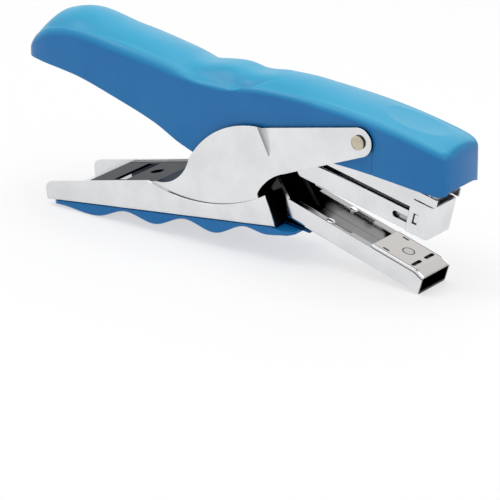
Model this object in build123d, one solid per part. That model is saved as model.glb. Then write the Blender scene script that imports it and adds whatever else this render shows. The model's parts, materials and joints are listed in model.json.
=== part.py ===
from build123d import *
import math
import os

# Plier stapler standing open on a table. Millimetres, +X towards the nose, +Z up, table at z = 0.

# Pivots and rest angles
OVERALL_LENGTH = 184.0
HALF_LENGTH = OVERALL_LENGTH / 2
FRONT_PIVOT_X = 57.5
FRONT_PIVOT_Z = 52.6
REAR_PIVOT_X = 8.5
ARM_DROOP = 16.4
MAGAZINE_DROOP = 12.6
DRIVER_DROOP = 9.45
HANDLE_RISE = 6.6

# Clearances
RUNNING_FIT = 0.05
PASSING_GAP = 0.3
FRAME_FIT = 0.15
SLIDE_FIT = 0.12

# Sheets and walls
CHANNEL_SHEET = 0.55
HOUSING_SHEET = 0.7
ARM_SHEET = 1.0
FRAME_SHEET = 1.0
CHEEK_SHEET = 1.0
HANDLE_SHEET = 1.0
COVER_WALL = 1.45
CHEEK_JOG = 0.6

# Half widths, from the staple outwards
STAPLE_WIDTH = 12.9
CHANNEL_HALF = STAPLE_WIDTH / 2 + CHANNEL_SHEET
HOUSING_HALF = CHANNEL_HALF + HOUSING_SHEET
ARM_HALF = HOUSING_HALF + PASSING_GAP + ARM_SHEET
FRAME_HALF = ARM_HALF + PASSING_GAP + FRAME_SHEET
HEAD_HALF = FRAME_HALF + FRAME_FIT + COVER_WALL
CHEEK_ARM_HALF = HEAD_HALF + PASSING_GAP + CHEEK_SHEET
CHEEK_HALF = CHEEK_ARM_HALF + CHEEK_JOG
HANDLE_HALF = CHEEK_HALF + HANDLE_SHEET

# Pins and rivets
PIVOT_PIN_RADIUS = 2.0
RIVET_HEAD_RADIUS = 2.9
RIVET_HEAD_HEIGHT = 1.3
SCREW_RADIUS = 1.3
SCREW_HEAD_RADIUS = 2.4
SCREW_HEAD_HEIGHT = 1.2
SCREW_SEAT_GAP = 0.1
SCREW_TIP_GAP = 0.2
SMALL_HEAD_SHARE = 1.6

# Anvil arm, measured from the rear pivot along the arm
ARM_SETBACK = 3.5
ARM_LENGTH = HALF_LENGTH - REAR_PIVOT_X - ARM_SETBACK
ARM_FLOOR = 19.2
ARM_WALL = 7.2
ARM_TAIL = 17.0
ARM_EAR_RADIUS = 6.2
ARM_EAR_FRONT = 21.0
ARM_EAR_CUT = 1.5
ARM_TAIL_CUT = 5.0
ARM_LIP = 1.8
ARM_LIP_START = 24.0
ARM_LIP_END = 38.6
ARM_LIP_DIMPLE = 0.8
ARM_TAB_LENGTH = 9.5
ARM_BEAD_HALF = 1.6
ARM_BEAD_HEIGHT = 1.3
ARM_BEND = 1.4
ARM_DROOP_TURN = math.radians(ARM_DROOP)
REAR_PIVOT_Z = ARM_LENGTH * math.sin(ARM_DROOP_TURN) + ARM_FLOOR * math.cos(ARM_DROOP_TURN)

# Anvil plate on the front of the arm
PLATE_LENGTH = 22.6
PLATE_REAR = ARM_LENGTH - PLATE_LENGTH
PLATE_SHEET = 1.0
PLATE_MARGIN = 0.5
PLATE_LIP_RUN = 3.8
PLATE_FOLD = ARM_LENGTH - PLATE_LIP_RUN
PLATE_LIP_ANGLE = 16.0
CLINCH_SETBACK = 6.2
CLINCH_X = ARM_LENGTH - CLINCH_SETBACK
CLINCH_SPAN = 13.6
CLINCH_POCKET_LENGTH = 5.6
CLINCH_POCKET_WIDTH = 1.5
CLINCH_DEPTH = 0.7
PLATE_RIVET_SETBACK = 12.4
PLATE_RIVET_X = ARM_LENGTH - PLATE_RIVET_SETBACK
PLATE_RIVET_RADIUS = 2.3
PLATE_RIVET_GROOVE = 0.35
PLATE_SLIT_X = PLATE_REAR + 3.4
PLATE_SLIT_LENGTH = 2.6
PLATE_SLIT_WIDTH = 0.8
PLATE_SLIT_SPAN = 12.4

# Magazine, measured from the rear pivot along the magazine
MAGAZINE_BOTTOM = -4.1
NOSE_SETBACK = 3.5
NOSE_FRONT = ARM_LENGTH - NOSE_SETBACK
DRIVER_SLOT = 2.6
CHANNEL_REAR = 20.0
CHANNEL_FRONT = NOSE_FRONT - HOUSING_SHEET - DRIVER_SLOT
CHANNEL_HEIGHT = 7.3
CHANNEL_LIP = 1.6
CHANNEL_ROUND = 0.9
CHANNEL_REAR_ROUND = 2.4
SIDE_SLOT_SETBACK = 8.2
SIDE_SLOT_X = CHANNEL_FRONT - SIDE_SLOT_SETBACK
SIDE_SLOT_LENGTH = 8.4
SIDE_SLOT_HEIGHT = 2.4
SIDE_SLOT_Z = -0.4
HOUSING_TOP = 12.0
HOUSING_EAR = 5.0
STRIP_EDGE = 5.3
STRIP_OVERHANG = 0.7
STRIP_FRONT = NOSE_FRONT + STRIP_OVERHANG
STRIP_REAR = 14.0
WEB_REAR = 15.0
WEB_SETBACK = 0.8
WEB_FRONT = CHANNEL_FRONT - WEB_SETBACK
NOSE_LENGTH = 9.1
NOSE_REAR = NOSE_FRONT - NOSE_LENGTH
NOSE_TOP = 8.4
NOSE_ROUND = 1.2
NOSE_SLIT = 0.5
NOSE_WINDOW_SETBACK = 6.1
NOSE_WINDOW_X = NOSE_FRONT - NOSE_WINDOW_SETBACK
NOSE_WINDOW_Z = 1.6
NOSE_WINDOW_LENGTH = 2.0
NOSE_WINDOW_HEIGHT = 4.0

# Staple rail, pusher and its spring
RAIL_HALF = 5.4
RAIL_REAR = 24.6
RAIL_FRONT = CHANNEL_FRONT - WEB_SETBACK
RAIL_SHEET = 0.6
RAIL_TOP = 1.8
STOP_REAR = 21.6
STOP_SHEET = 1.4
ROD_RADIUS = 1.2
ROD_HEIGHT = 6.6
ROD_SETBACK = 1.2
ROD_FRONT = RAIL_FRONT - ROD_SETBACK
PUSHER_FRONT = RAIL_FRONT
PUSHER_LENGTH = 9.0
PUSHER_SHEET = 0.5
PUSHER_LUG_HALF = 2.6
PUSHER_LUG_LENGTH = 4.0
PUSHER_LUG_TOP = 8.9
SPRING_WIRE = 0.55
SPRING_RADIUS = 2.05
SPRING_TURNS = 13

# Driver blade
BLADE_CENTRE = CHANNEL_FRONT + DRIVER_SLOT / 2
BLADE_SHEET = 0.6
BLADE_HALF = 6.2
BLADE_TIP = 0.3
BLADE_FLANGE = 8.0
BLADE_RIVET_PITCH = 7.0
BLADE_RIVET_RADIUS = 1.1
BLADE_RIVET_HEAD = 0.6

# Inner frame of the upper lever
FRAME_REAR = -8.0
FRAME_REAR_TOP = 58.4
FRAME_KNEE_X = 62.0
FRAME_KNEE_TOP = 56.0
FRAME_OVERHANG = 2.0
FRAME_FRONT = REAR_PIVOT_X + BLADE_CENTRE + FRAME_OVERHANG
FRAME_LOBE_RADIUS = 7.0
FRAME_LOWER_REAR = 46.0
FRAME_LOWER_FRONT = 44.6
FRAME_BEND = 1.6

# Upper cover
COVER_BOTTOM_LAP = 4.0
COVER_INNER_RIDGE = 0.8
GRIP_HALF = 12.9
COVER_SCREW_X = (20.0, 44.0)
COVER_BOSS_RADIUS = 3.2
PARTING_LINE_X = 62.4
PARTING_LINE_WIDTH = 0.5
PARTING_LINE_DEPTH = 0.3
DISH_SETBACK = 18.0
DISH_X = HALF_LENGTH - DISH_SETBACK
DISH_SPHERE = 70.0
DISH_DEPTH = 0.7

# Cheeks of the lower lever
CHEEK_END_RADIUS = 5.3
CHEEK_WAIST = (-15.0, 31.4)
CHEEK_WAIST_BOW = (-19.6, 23.6)
CHEEK_LOBE_BOW = (-7.0, 41.2)
CHEEK_THROAT = (27.5, 34.9)
CHEEK_THROAT_BOW = (19.6, 30.6)
CHEEK_THROAT_INSET = 4.0
CHEEK_FRONT_INSET = 2.0
CHEEK_ARM_RISE = 11.2
CHEEK_ARM_TAPER = 24.5
CHEEK_CREASE_X = 17.2
CHEEK_CREASE_Z = 49.6
CHEEK_CREASE_ANGLE = 59.0
CHEEK_CREASE_RUN = 2.4
CHEEK_WEB_REAR = -61.5
CHEEK_WEB_FRONT = -29.0
CHEEK_WEB_DROP = 0.6
CHEEK_FLANGE_RUN = 8.5
CHEEK_FLANGE_DROP = 6.5
CHEEK_HOLE_X = -38.6
CHEEK_HOLE_RADIUS = 2.6
CHEEK_SLOT_X = -48.0
CHEEK_SLOT_LENGTH = 6.0
CHEEK_SLOT_HALF = 10.4

# Lower handle channel, in the handle's own frame with its underside at z = 0
HANDLE_HEIGHT = 11.25
HANDLE_REAR = -80.0
HANDLE_FRONT = 23.6
HANDLE_REAR_WALL = 7.1
HANDLE_PEAK_X = -31.8
HANDLE_PEAK_WALL = 12.0
HANDLE_DIP_X = -6.3
HANDLE_DIP_WALL = 6.1
HANDLE_FRONT_TOP_X = 20.5
HANDLE_FRONT_WALL = 11.7
HANDLE_END_ROUND = 3.0
HANDLE_BEND = 1.5
TONGUE_REACH = 10.0
TONGUE_FRONT = HANDLE_FRONT + TONGUE_REACH
TONGUE_HALF = 8.0
TONGUE_GAP = 0.4
TONGUE_REAR = HANDLE_FRONT - 2 * HANDLE_SHEET

# Finger grip under the channel
GRIP_MARGIN = 0.6
FINGER_PITCH = 27.0
FIRST_BUMP_X = -58.5
FINGER_DEPTH = 4.38
FINGER_GROWTH = 0.4
VALLEY_DEPTH = 1.4
LAST_BUMP_DEPTH = 3.4
LAST_BUMP_X = 19.0
GRIP_REAR_DEPTH = 1.6
GRIP_ROUND = 1.2
GRIP_NOSE = 29.5
GRIP_NOSE_DEPTH = 1.0
GRIP_NOSE_ROUND = 7.0
GRIP_SCREW_X = (CHEEK_HOLE_X, 8.0)
GRIP_SCREW_DEPTH = 1.1

# Return spring on the rear pin
RETURN_WIRE = 1.3
RETURN_RADIUS = 3.6
RETURN_PITCH = 1.75
RETURN_TURNS = 4
RETURN_LEAN = 32.5
RETURN_ARM_LEG = 30.6
RETURN_SEAT_GAP = 0.15

# Leaf spring on the magazine
LEAF_SHEET = 0.5
LEAF_HALF = 3.2
LEAF_REAR = 24.6
LEAF_FOOT = 8.0
LEAF_REACH = 20.0
LEAF_KNEE = 0.55
LEAF_KNEE_RISE = 0.3
LEAF_FREE_SHARE = 0.9
LEAF_RIVET_RADIUS = 1.2
LEAF_RIVET_HEAD = 0.7

REAR_PIVOT = Pos(REAR_PIVOT_X, 0, REAR_PIVOT_Z)
ARM_FRAME = REAR_PIVOT * Rot(0, ARM_DROOP, 0)
MAGAZINE_FRAME = REAR_PIVOT * Rot(0, MAGAZINE_DROOP, 0)
DRIVER_FRAME = REAR_PIVOT * Rot(0, DRIVER_DROOP, 0)
HANDLE_FRAME = Pos(0, 0, HANDLE_HEIGHT) * Rot(0, -HANDLE_RISE, 0)
CHANNEL_TOP = MAGAZINE_BOTTOM + CHANNEL_HEIGHT
PLATE_UNDER_FOLD = PLATE_FOLD - PLATE_SHEET * math.tan(math.radians(PLATE_LIP_ANGLE / 2))


def slab(profile, y_from, y_to):
    """A side profile drawn in X and Z, solid between two planes across the width."""
    return Pos(0, y_to, 0) * extrude(Plane.XZ * profile, y_to - y_from)


def both_sides(profile, y_from, y_to):
    return slab(profile, y_from, y_to) + slab(profile, -y_to, -y_from)


def polygon(*points):
    return make_face(Polyline(*points, close=True))


def box(x_from, x_to, y_from, y_to, z_from, z_to):
    centre = Pos((x_from + x_to) / 2, (y_from + y_to) / 2, (z_from + z_to) / 2)
    return centre * Box(x_to - x_from, y_to - y_from, z_to - z_from)


def cross_pin(x, z, radius, half_length):
    return Pos(x, 0, z) * Rot(90, 0, 0) * Cylinder(radius, 2 * half_length)


def upright(x, y, z_from, z_to, radius):
    return Pos(x, y, (z_from + z_to) / 2) * Cylinder(radius, z_to - z_from)


def headed_rivet(x, y, z_from, z_to, radius, head):
    """A rivet through sheets between two heights, with a flat head on each side."""
    head_radius = SMALL_HEAD_SHARE * radius
    rivet = upright(x, y, z_from, z_to, radius)
    rivet += upright(x, y, z_from - head, z_from, head_radius)
    return rivet + upright(x, y, z_to, z_to + head, head_radius)


def sloped(x, x_a, z_a, x_b, z_b):
    """Height at x on the line through two points."""
    return z_a + (x - x_a) * (z_b - z_a) / (x_b - x_a)


def on_handle(x, z):
    """A point of the handle's own frame, in the stapler's X and Z."""
    spot = (HANDLE_FRAME * Pos(x, 0, z)).position
    return (spot.X, spot.Z)


def coil_arcs(radius, pitch, turns):
    """A coil about +Z as tangent pairs of arcs, four pairs to a turn, with points along it."""

    def spot(angle):
        return Vector(radius * math.cos(angle), radius * math.sin(angle), pitch * angle / (2 * math.pi))

    def heading(angle):
        return Vector(-radius * math.sin(angle), radius * math.cos(angle), pitch / (2 * math.pi)).normalized()

    arcs = []
    quarter = math.pi / 2
    for step in range(round(turns * 4)):
        start, end = spot(step * quarter), spot((step + 1) * quarter)
        out, into = heading(step * quarter), heading((step + 1) * quarter)
        chord = end - start
        along = chord.dot(out + into)
        spread = 2 * (1 - out.dot(into))
        reach = (math.sqrt(along * along + spread * chord.dot(chord)) - along) / spread
        middle = (start + end + (out - into) * reach) * 0.5
        first = TangentArc(start, middle, tangent=out)
        arcs += [first, TangentArc(middle, end, tangent=first % 1)]
    return arcs


def least_gap(path, wire_diameter, turn_length):
    """Smallest space between a wire and itself, measured on points along its path."""
    count = round(path.length / wire_diameter)
    spots = [path @ (i / count) for i in range(count + 1)]
    skip = round(0.5 * turn_length / wire_diameter)
    nearest = min((a - b).length for i, a in enumerate(spots) for b in spots[i + skip:])
    return nearest - wire_diameter


def wound(name, edges, wire_diameter, radius):
    path = Wire(edges)
    section = Plane(origin=path @ 0, z_dir=path % 0) * Circle(wire_diameter / 2)
    print(name, "least gap", round(least_gap(path, wire_diameter, 2 * math.pi * radius), 2))
    return sweep(section, path=path)


def cover_section(x, half_width, bottom, shoulder, crown, ridge):
    sides = Polyline(
        (-half_width, shoulder), (-half_width, bottom), (half_width, bottom), (half_width, shoulder),
    )
    top = ThreePointArc((half_width, shoulder), (0, crown), (-half_width, shoulder))
    face = make_face(sides + top)
    ridges = face.vertices().sort_by(Axis.Y)[-2:]
    return Plane(origin=(x, 0, 0), x_dir=(0, 1, 0), z_dir=(1, 0, 0)) * fillet(ridges, ridge)


# Stations of the cover: x, half width, lower edge, shoulder, crown, ridge radius
COVER_STATIONS = [
    (-HALF_LENGTH, 4.8, 55.4, 57.6, 59.0, 1.8),
    (-HALF_LENGTH + 2, 8.6, 55.0, 60.2, 63.0, 3.6),
    (-HALF_LENGTH + 6, 11.3, 54.8, 62.8, 67.4, 4.2),
    (-HALF_LENGTH + 13, GRIP_HALF - 0.3, 54.2, 65.8, 72.2, 3.8),
    (-68.0, GRIP_HALF, 52.8, 67.6, 74.8, 3.4),
    (-50.0, GRIP_HALF, 48.0, 66.6, 72.2, 3.4),
    (-31.0, HEAD_HALF + 0.5, 41.4, 63.8, 69.2, 3.6),
    (-20.0, HEAD_HALF + 0.2, 35.8, 62.2, 67.7, 4.4),
    (-11.0, HEAD_HALF, 32.8, 61.2, 67.1, 5.0),
    (-3.0, HEAD_HALF, 32.2, 60.7, 66.7, 4.6),
    (4.0, HEAD_HALF, 33.1, 61.0, 66.0, 4.2),
    (10.0, HEAD_HALF, 34.8, 61.8, 65.5, 4.0),
    (16.0, HEAD_HALF, 36.5, 62.3, 65.9, 3.8),
    (26.0, HEAD_HALF, 39.2, 62.4, 66.0, 3.6),
    (44.0, HEAD_HALF, 42.2, 61.8, 64.6, 3.5),
    (55.0, HEAD_HALF, 41.8, 60.9, 63.4, 3.5),
    (65.0, HEAD_HALF, 41.0, 59.6, 61.9, 3.5),
    (74.0, HEAD_HALF, 40.1, 58.0, 60.3, 3.5),
    (HALF_LENGTH - 9, HEAD_HALF, 39.2, 56.1, 58.4, 3.5),
    (HALF_LENGTH - 3.4, HEAD_HALF - 0.5, 38.8, 54.5, 56.8, 3.5),
    (HALF_LENGTH - 0.8, HEAD_HALF - 2.2, 39.4, 52.8, 55.0, 3.0),
    (HALF_LENGTH, HEAD_HALF - 4.4, 40.6, 51.0, 53.0, 2.6),
]


def upper_cover():
    outer = loft([cover_section(*station) for station in COVER_STATIONS])
    inner = loft([
        cover_section(
            x * (1 - COVER_WALL / HALF_LENGTH), half - COVER_WALL, bottom - COVER_BOTTOM_LAP,
            shoulder - COVER_WALL, crown - COVER_WALL, max(ridge - COVER_WALL, COVER_INNER_RIDGE),
        )
        for x, half, bottom, shoulder, crown, ridge in COVER_STATIONS[1:-1]
    ])
    cover = outer - inner
    for x in COVER_SCREW_X:
        foot = frame_top(x - COVER_BOSS_RADIUS)
        boss = upright(x, 0, foot, crown_at(x) - COVER_WALL / 2, COVER_BOSS_RADIUS)
        cover += boss - upright(x, 0, foot, crown_at(x) - 2 * COVER_WALL, SCREW_RADIUS)
    cover -= cross_pin(FRONT_PIVOT_X, FRONT_PIVOT_Z, PIVOT_PIN_RADIUS, HANDLE_HALF)
    line = PARTING_LINE_WIDTH / 2
    for side in (-1, 1):
        edge = sorted((side * HEAD_HALF, side * (HEAD_HALF - PARTING_LINE_DEPTH)))
        cover -= box(PARTING_LINE_X - line, PARTING_LINE_X + line, edge[0], edge[1], 0, FRONT_PIVOT_Z)
    slope = math.atan((crown_at(DISH_X - 1) - crown_at(DISH_X + 1)) / 2)
    lift = DISH_SPHERE - DISH_DEPTH
    dish = Pos(DISH_X + lift * math.sin(slope), 0, crown_at(DISH_X) + lift * math.cos(slope))
    return cover - dish * Sphere(DISH_SPHERE)


def crown_at(x):
    """Crown height between the two nearest stations."""
    for a, b in zip(COVER_STATIONS, COVER_STATIONS[1:]):
        if a[0] <= x <= b[0]:
            return sloped(x, a[0], a[4], b[0], b[4])


def frame_top(x):
    front_top = FRAME_KNEE_TOP - (FRAME_FRONT - FRAME_KNEE_X) * math.tan(math.radians(DRIVER_DROOP))
    if x < FRAME_KNEE_X:
        return sloped(x, FRAME_REAR, FRAME_REAR_TOP, FRAME_KNEE_X, FRAME_KNEE_TOP)
    return sloped(x, FRAME_KNEE_X, FRAME_KNEE_TOP, FRAME_FRONT, front_top)


def frame_profile(drop):
    """Outline of the frame's side, with its top lowered by drop."""
    lobe = FRAME_LOBE_RADIUS
    lobe_front = (REAR_PIVOT_X + lobe, REAR_PIVOT_Z)
    lobe_rear = (REAR_PIVOT_X - lobe, REAR_PIVOT_Z)
    edge = Polyline(
        lobe_rear,
        (FRAME_REAR, FRAME_LOWER_REAR),
        (FRAME_REAR, frame_top(FRAME_REAR) - drop),
        (FRAME_KNEE_X, FRAME_KNEE_TOP - drop),
        (FRAME_FRONT, frame_top(FRAME_FRONT) - drop),
        (FRAME_FRONT, FRAME_LOWER_FRONT),
        (REAR_PIVOT_X + 2 * lobe, FRAME_LOWER_REAR),
        lobe_front,
    )
    return make_face(edge + ThreePointArc(lobe_front, (REAR_PIVOT_X, REAR_PIVOT_Z - lobe), lobe_rear))


def upper_frame():
    frame = slab(frame_profile(0), -FRAME_HALF, FRAME_HALF)
    tops = frame.edges().filter_by(lambda e: abs(abs(e.center().Y) - FRAME_HALF) < 0.01)
    tops = [e for e in tops if e.center().Z > frame_top(e.center().X) - 0.1 and e.length > 2 * FRAME_SHEET]
    frame = fillet(tops, FRAME_BEND)
    inner = FRAME_HALF - FRAME_SHEET
    core = slab(frame_profile(FRAME_SHEET), -inner, inner)
    below = slab(polygon(
        (FRAME_REAR - 1, 0), (FRAME_FRONT + 1, 0), (FRAME_FRONT + 1, frame_top(FRAME_FRONT) - FRAME_SHEET),
        (FRAME_KNEE_X, FRAME_KNEE_TOP - FRAME_SHEET), (FRAME_REAR - 1, frame_top(FRAME_REAR) - FRAME_SHEET),
    ), -inner, inner)
    frame -= core + below
    frame -= cross_pin(FRONT_PIVOT_X, FRONT_PIVOT_Z, PIVOT_PIN_RADIUS, HANDLE_HALF)
    frame -= cross_pin(REAR_PIVOT_X, REAR_PIVOT_Z, PIVOT_PIN_RADIUS, HANDLE_HALF)
    for x in COVER_SCREW_X:
        frame -= upright(x, 0, 0, FRAME_REAR_TOP + 1, SCREW_RADIUS)
    return frame - driver_rivet_shanks()


def cover_screws():
    screws = []
    for x in COVER_SCREW_X:
        under = frame_top(x) - FRAME_SHEET
        seat = under - SCREW_SEAT_GAP
        tip = crown_at(x) - 2 * COVER_WALL - SCREW_TIP_GAP
        head = upright(x, 0, seat - SCREW_HEAD_HEIGHT, seat, SCREW_HEAD_RADIUS)
        screws.append(head + upright(x, 0, seat, tip, SCREW_RADIUS))
    return Compound(screws)


def blade_top():
    """Underside of the frame's sloping front, in the driver's frame."""
    spot = DRIVER_FRAME.inverse() * Pos(FRAME_KNEE_X, 0, FRAME_KNEE_TOP)
    return spot.position.Z - FRAME_SHEET


def driver_rivet_spots():
    flange_x = BLADE_CENTRE - BLADE_FLANGE / 2
    return [(flange_x, side * BLADE_RIVET_PITCH / 2) for side in (-1, 1)]


def driver_rivet_shanks():
    top = blade_top()
    shanks = [
        upright(x, y, top - 2 * BLADE_SHEET, top + 2 * FRAME_SHEET, BLADE_RIVET_RADIUS)
        for x, y in driver_rivet_spots()
    ]
    return DRIVER_FRAME * Compound(shanks)


def driver_blade():
    top = blade_top()
    face = BLADE_CENTRE + BLADE_SHEET / 2
    blade = box(face - BLADE_SHEET, face, -BLADE_HALF, BLADE_HALF, BLADE_TIP, top)
    flange = box(face - BLADE_FLANGE, face, -BLADE_HALF, BLADE_HALF, top - BLADE_SHEET, top)
    return DRIVER_FRAME * (blade + flange) - driver_rivet_shanks()


def driver_rivets():
    top = blade_top()
    under, over = top - BLADE_SHEET, top + FRAME_SHEET
    rivets = [
        headed_rivet(x, y, under, over, BLADE_RIVET_RADIUS, BLADE_RIVET_HEAD)
        for x, y in driver_rivet_spots()
    ]
    return DRIVER_FRAME * Compound(rivets)


def front_pivot_rivet():
    seat = CHEEK_ARM_HALF + PASSING_GAP
    rivet = cross_pin(FRONT_PIVOT_X, FRONT_PIVOT_Z, PIVOT_PIN_RADIUS, seat)
    ball = (RIVET_HEAD_RADIUS ** 2 + RIVET_HEAD_HEIGHT ** 2) / (2 * RIVET_HEAD_HEIGHT)
    dome = Pos(0, 0, seat + RIVET_HEAD_HEIGHT - ball) * Sphere(ball)
    dome &= upright(0, 0, seat, seat + RIVET_HEAD_HEIGHT, RIVET_HEAD_RADIUS)
    for turn in (-90, 90):
        rivet += Pos(FRONT_PIVOT_X, 0, FRONT_PIVOT_Z) * Rot(turn, 0, 0) * dome
    return rivet


def rear_pivot_pin():
    return cross_pin(REAR_PIVOT_X, REAR_PIVOT_Z, PIVOT_PIN_RADIUS, FRAME_HALF)


def return_spring():
    arcs = coil_arcs(RETURN_RADIUS, RETURN_PITCH, RETURN_TURNS)
    start, end = arcs[0] @ 0, arcs[-1] @ 1
    arm_leg = Line(start - (arcs[0] % 0) * RETURN_ARM_LEG, start)
    frame_leg = Line(end, end + (arcs[-1] % 1) * return_frame_leg())
    spring = wound("return_spring", [arm_leg, *arcs, frame_leg], RETURN_WIRE, RETURN_RADIUS)
    middle = RETURN_PITCH * RETURN_TURNS / 2
    return REAR_PIVOT * Rot(0, -RETURN_LEAN, 0) * Rot(90, 0, 0) * Pos(0, 0, -middle) * spring


def return_frame_leg():
    """Length of the straight leg from the coil up to the underside of the frame."""
    lean = math.radians(RETURN_LEAN)
    room = frame_top(REAR_PIVOT_X) - FRAME_SHEET - RETURN_SEAT_GAP - RETURN_WIRE / 2 - REAR_PIVOT_Z
    return (room - RETURN_RADIUS * math.sin(lean) - RETURN_WIRE / 2 * math.sin(lean)) / math.cos(lean)


def arm_profile():
    """Outline of the arm's wall in the arm's frame."""
    floor, top = -ARM_FLOOR, -ARM_FLOOR + ARM_WALL
    ear = ARM_EAR_RADIUS
    lip_slope = math.tan(math.radians(PLATE_LIP_ANGLE))
    edge = Polyline(
        (-ear, 0), (-ear + ARM_EAR_CUT, -ear),
        (ARM_TAIL - ARM_TAIL_CUT, floor + ARM_TAIL_CUT), (ARM_TAIL, floor),
        (ARM_LENGTH, floor), (ARM_LENGTH, top - (ARM_LENGTH - PLATE_UNDER_FOLD) * lip_slope),
        (PLATE_UNDER_FOLD, top),
        (ARM_EAR_FRONT, top), (ear, 0),
    )
    return make_face(edge + ThreePointArc((ear, 0), (0, ear), (-ear, 0)))


def anvil_arm():
    floor, top = -ARM_FLOOR, -ARM_FLOOR + ARM_WALL
    inner = ARM_HALF - ARM_SHEET
    arm = slab(arm_profile(), -ARM_HALF, ARM_HALF)
    bends = [
        e for e in arm.edges().filter_by(Axis.X)
        if abs(e.center().Z - floor) < 0.01 and e.length > ARM_LENGTH / 2
    ]
    arm = fillet(bends, ARM_BEND)
    arm -= box(-2 * ARM_EAR_RADIUS, ARM_LENGTH + 1, -inner, inner, floor + ARM_SHEET, 2 * ARM_EAR_RADIUS)
    arm -= slab(polygon(
        (-2 * ARM_EAR_RADIUS, floor - 1), (ARM_TAIL, floor - 1), (ARM_TAIL, floor + 2 * ARM_SHEET),
        (-2 * ARM_EAR_RADIUS, 2 * ARM_EAR_RADIUS),
    ), -inner, inner)
    for side in (-1, 1):
        edge = sorted((side * inner, side * (inner - ARM_LIP)))
        arm += box(ARM_LIP_START, ARM_LIP_END, edge[0], edge[1], top - ARM_SHEET, top)
        arm += box(PLATE_REAR - ARM_TAB_LENGTH, PLATE_REAR, edge[0], edge[1], top - ARM_SHEET, top)
        y = side * (inner - ARM_LIP / 2)
        arm += upright(ARM_LIP_END, y, top - ARM_SHEET, top, ARM_LIP)
        arm -= upright(ARM_LIP_END, y, top - 2 * ARM_SHEET, top + 1, ARM_LIP_DIMPLE)
    bead = Plane.YZ * make_face(
        Polyline((ARM_BEAD_HALF, 0), (-ARM_BEAD_HALF, 0))
        + ThreePointArc((-ARM_BEAD_HALF, 0), (0, ARM_BEAD_HEIGHT), (ARM_BEAD_HALF, 0))
    )
    arm += Pos(ARM_LIP_START, 0, floor + ARM_SHEET) * extrude(bead, PLATE_REAR - ARM_LIP_START)
    arm -= cross_pin(0, 0, PIVOT_PIN_RADIUS + RUNNING_FIT, HANDLE_HALF)
    return ARM_FRAME * arm


def anvil_plate():
    under = -ARM_FLOOR + ARM_WALL
    half = ARM_HALF - PLATE_MARGIN
    top = under + PLATE_SHEET
    drop = PLATE_LIP_RUN * math.tan(math.radians(PLATE_LIP_ANGLE))
    plate = slab(polygon(
        (PLATE_REAR, under), (PLATE_UNDER_FOLD, under),
        (PLATE_UNDER_FOLD + PLATE_LIP_RUN, under - drop), (PLATE_FOLD + PLATE_LIP_RUN, top - drop),
        (PLATE_FOLD, top), (PLATE_REAR, top),
    ), -half, half)
    for side in (-1, 1):
        y = side * (CLINCH_SPAN - CLINCH_POCKET_LENGTH) / 2
        pocket = Rot(0, 0, 90) * SlotOverall(CLINCH_POCKET_LENGTH, CLINCH_POCKET_WIDTH)
        plate -= Pos(CLINCH_X, y, top - CLINCH_DEPTH) * extrude(pocket, PLATE_SHEET)
        slit = Rectangle(PLATE_SLIT_LENGTH, PLATE_SLIT_WIDTH, align=(Align.MIN, Align.CENTER))
        plate -= Pos(PLATE_SLIT_X, side * PLATE_SLIT_SPAN / 2, under - 1) * extrude(slit, 3 * PLATE_SHEET)
    plate -= upright(PLATE_RIVET_X, 0, under - 1, top + 1, PLATE_RIVET_RADIUS)
    return ARM_FRAME * plate


def anvil_rivet():
    """Rivet flush with the plate, with a narrow groove round its head."""
    under = -ARM_FLOOR + ARM_WALL
    top = under + PLATE_SHEET
    rivet = upright(PLATE_RIVET_X, 0, -ARM_FLOOR + ARM_SHEET, top - PLATE_RIVET_GROOVE, PLATE_RIVET_RADIUS)
    head = upright(PLATE_RIVET_X, 0, under, top, PLATE_RIVET_RADIUS - PLATE_RIVET_GROOVE)
    return ARM_FRAME * (rivet + head)


def housing_wall():
    """Outline of the housing's side: pivot ear, strip under the cover and nose flange."""
    ear = HOUSING_EAR
    edge = Polyline(
        (-ear, 0), (-ear, HOUSING_TOP - ear), (0, HOUSING_TOP), (STRIP_FRONT, HOUSING_TOP),
        (STRIP_FRONT, NOSE_TOP + NOSE_SLIT), (NOSE_REAR + 1, NOSE_TOP + NOSE_SLIT), (NOSE_REAR + 1, NOSE_TOP),
        (NOSE_FRONT, NOSE_TOP), (NOSE_FRONT, MAGAZINE_BOTTOM), (NOSE_REAR, MAGAZINE_BOTTOM),
        (NOSE_REAR, STRIP_EDGE), (STRIP_REAR, STRIP_EDGE), (ear, 0),
    )
    return make_face(edge + ThreePointArc((ear, 0), (0, -ear), (-ear, 0)))


def magazine_housing():
    inner = HOUSING_HALF - HOUSING_SHEET
    housing = both_sides(housing_wall(), inner, HOUSING_HALF)
    housing += box(WEB_REAR, WEB_FRONT, -inner, inner, HOUSING_TOP - HOUSING_SHEET, HOUSING_TOP)
    housing += box(NOSE_FRONT - HOUSING_SHEET, NOSE_FRONT, -inner, inner, MAGAZINE_BOTTOM, NOSE_TOP)
    window = NOSE_WINDOW_LENGTH / 2, NOSE_WINDOW_HEIGHT / 2
    housing -= box(
        NOSE_WINDOW_X - window[0], NOSE_WINDOW_X + window[0], -HANDLE_HALF, HANDLE_HALF,
        NOSE_WINDOW_Z - window[1], NOSE_WINDOW_Z + window[1],
    )
    corners = [
        e for e in housing.edges().filter_by(Axis.Z)
        if abs(e.center().X - NOSE_FRONT) < 0.01 and abs(abs(e.center().Y) - HOUSING_HALF) < 0.01
    ]
    housing = fillet(corners, NOSE_ROUND)
    housing -= upright(LEAF_REAR + LEAF_FOOT / 2, 0, 0, 2 * HOUSING_TOP, LEAF_RIVET_RADIUS)
    housing -= cross_pin(0, 0, PIVOT_PIN_RADIUS + RUNNING_FIT, HANDLE_HALF)
    return MAGAZINE_FRAME * housing


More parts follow.
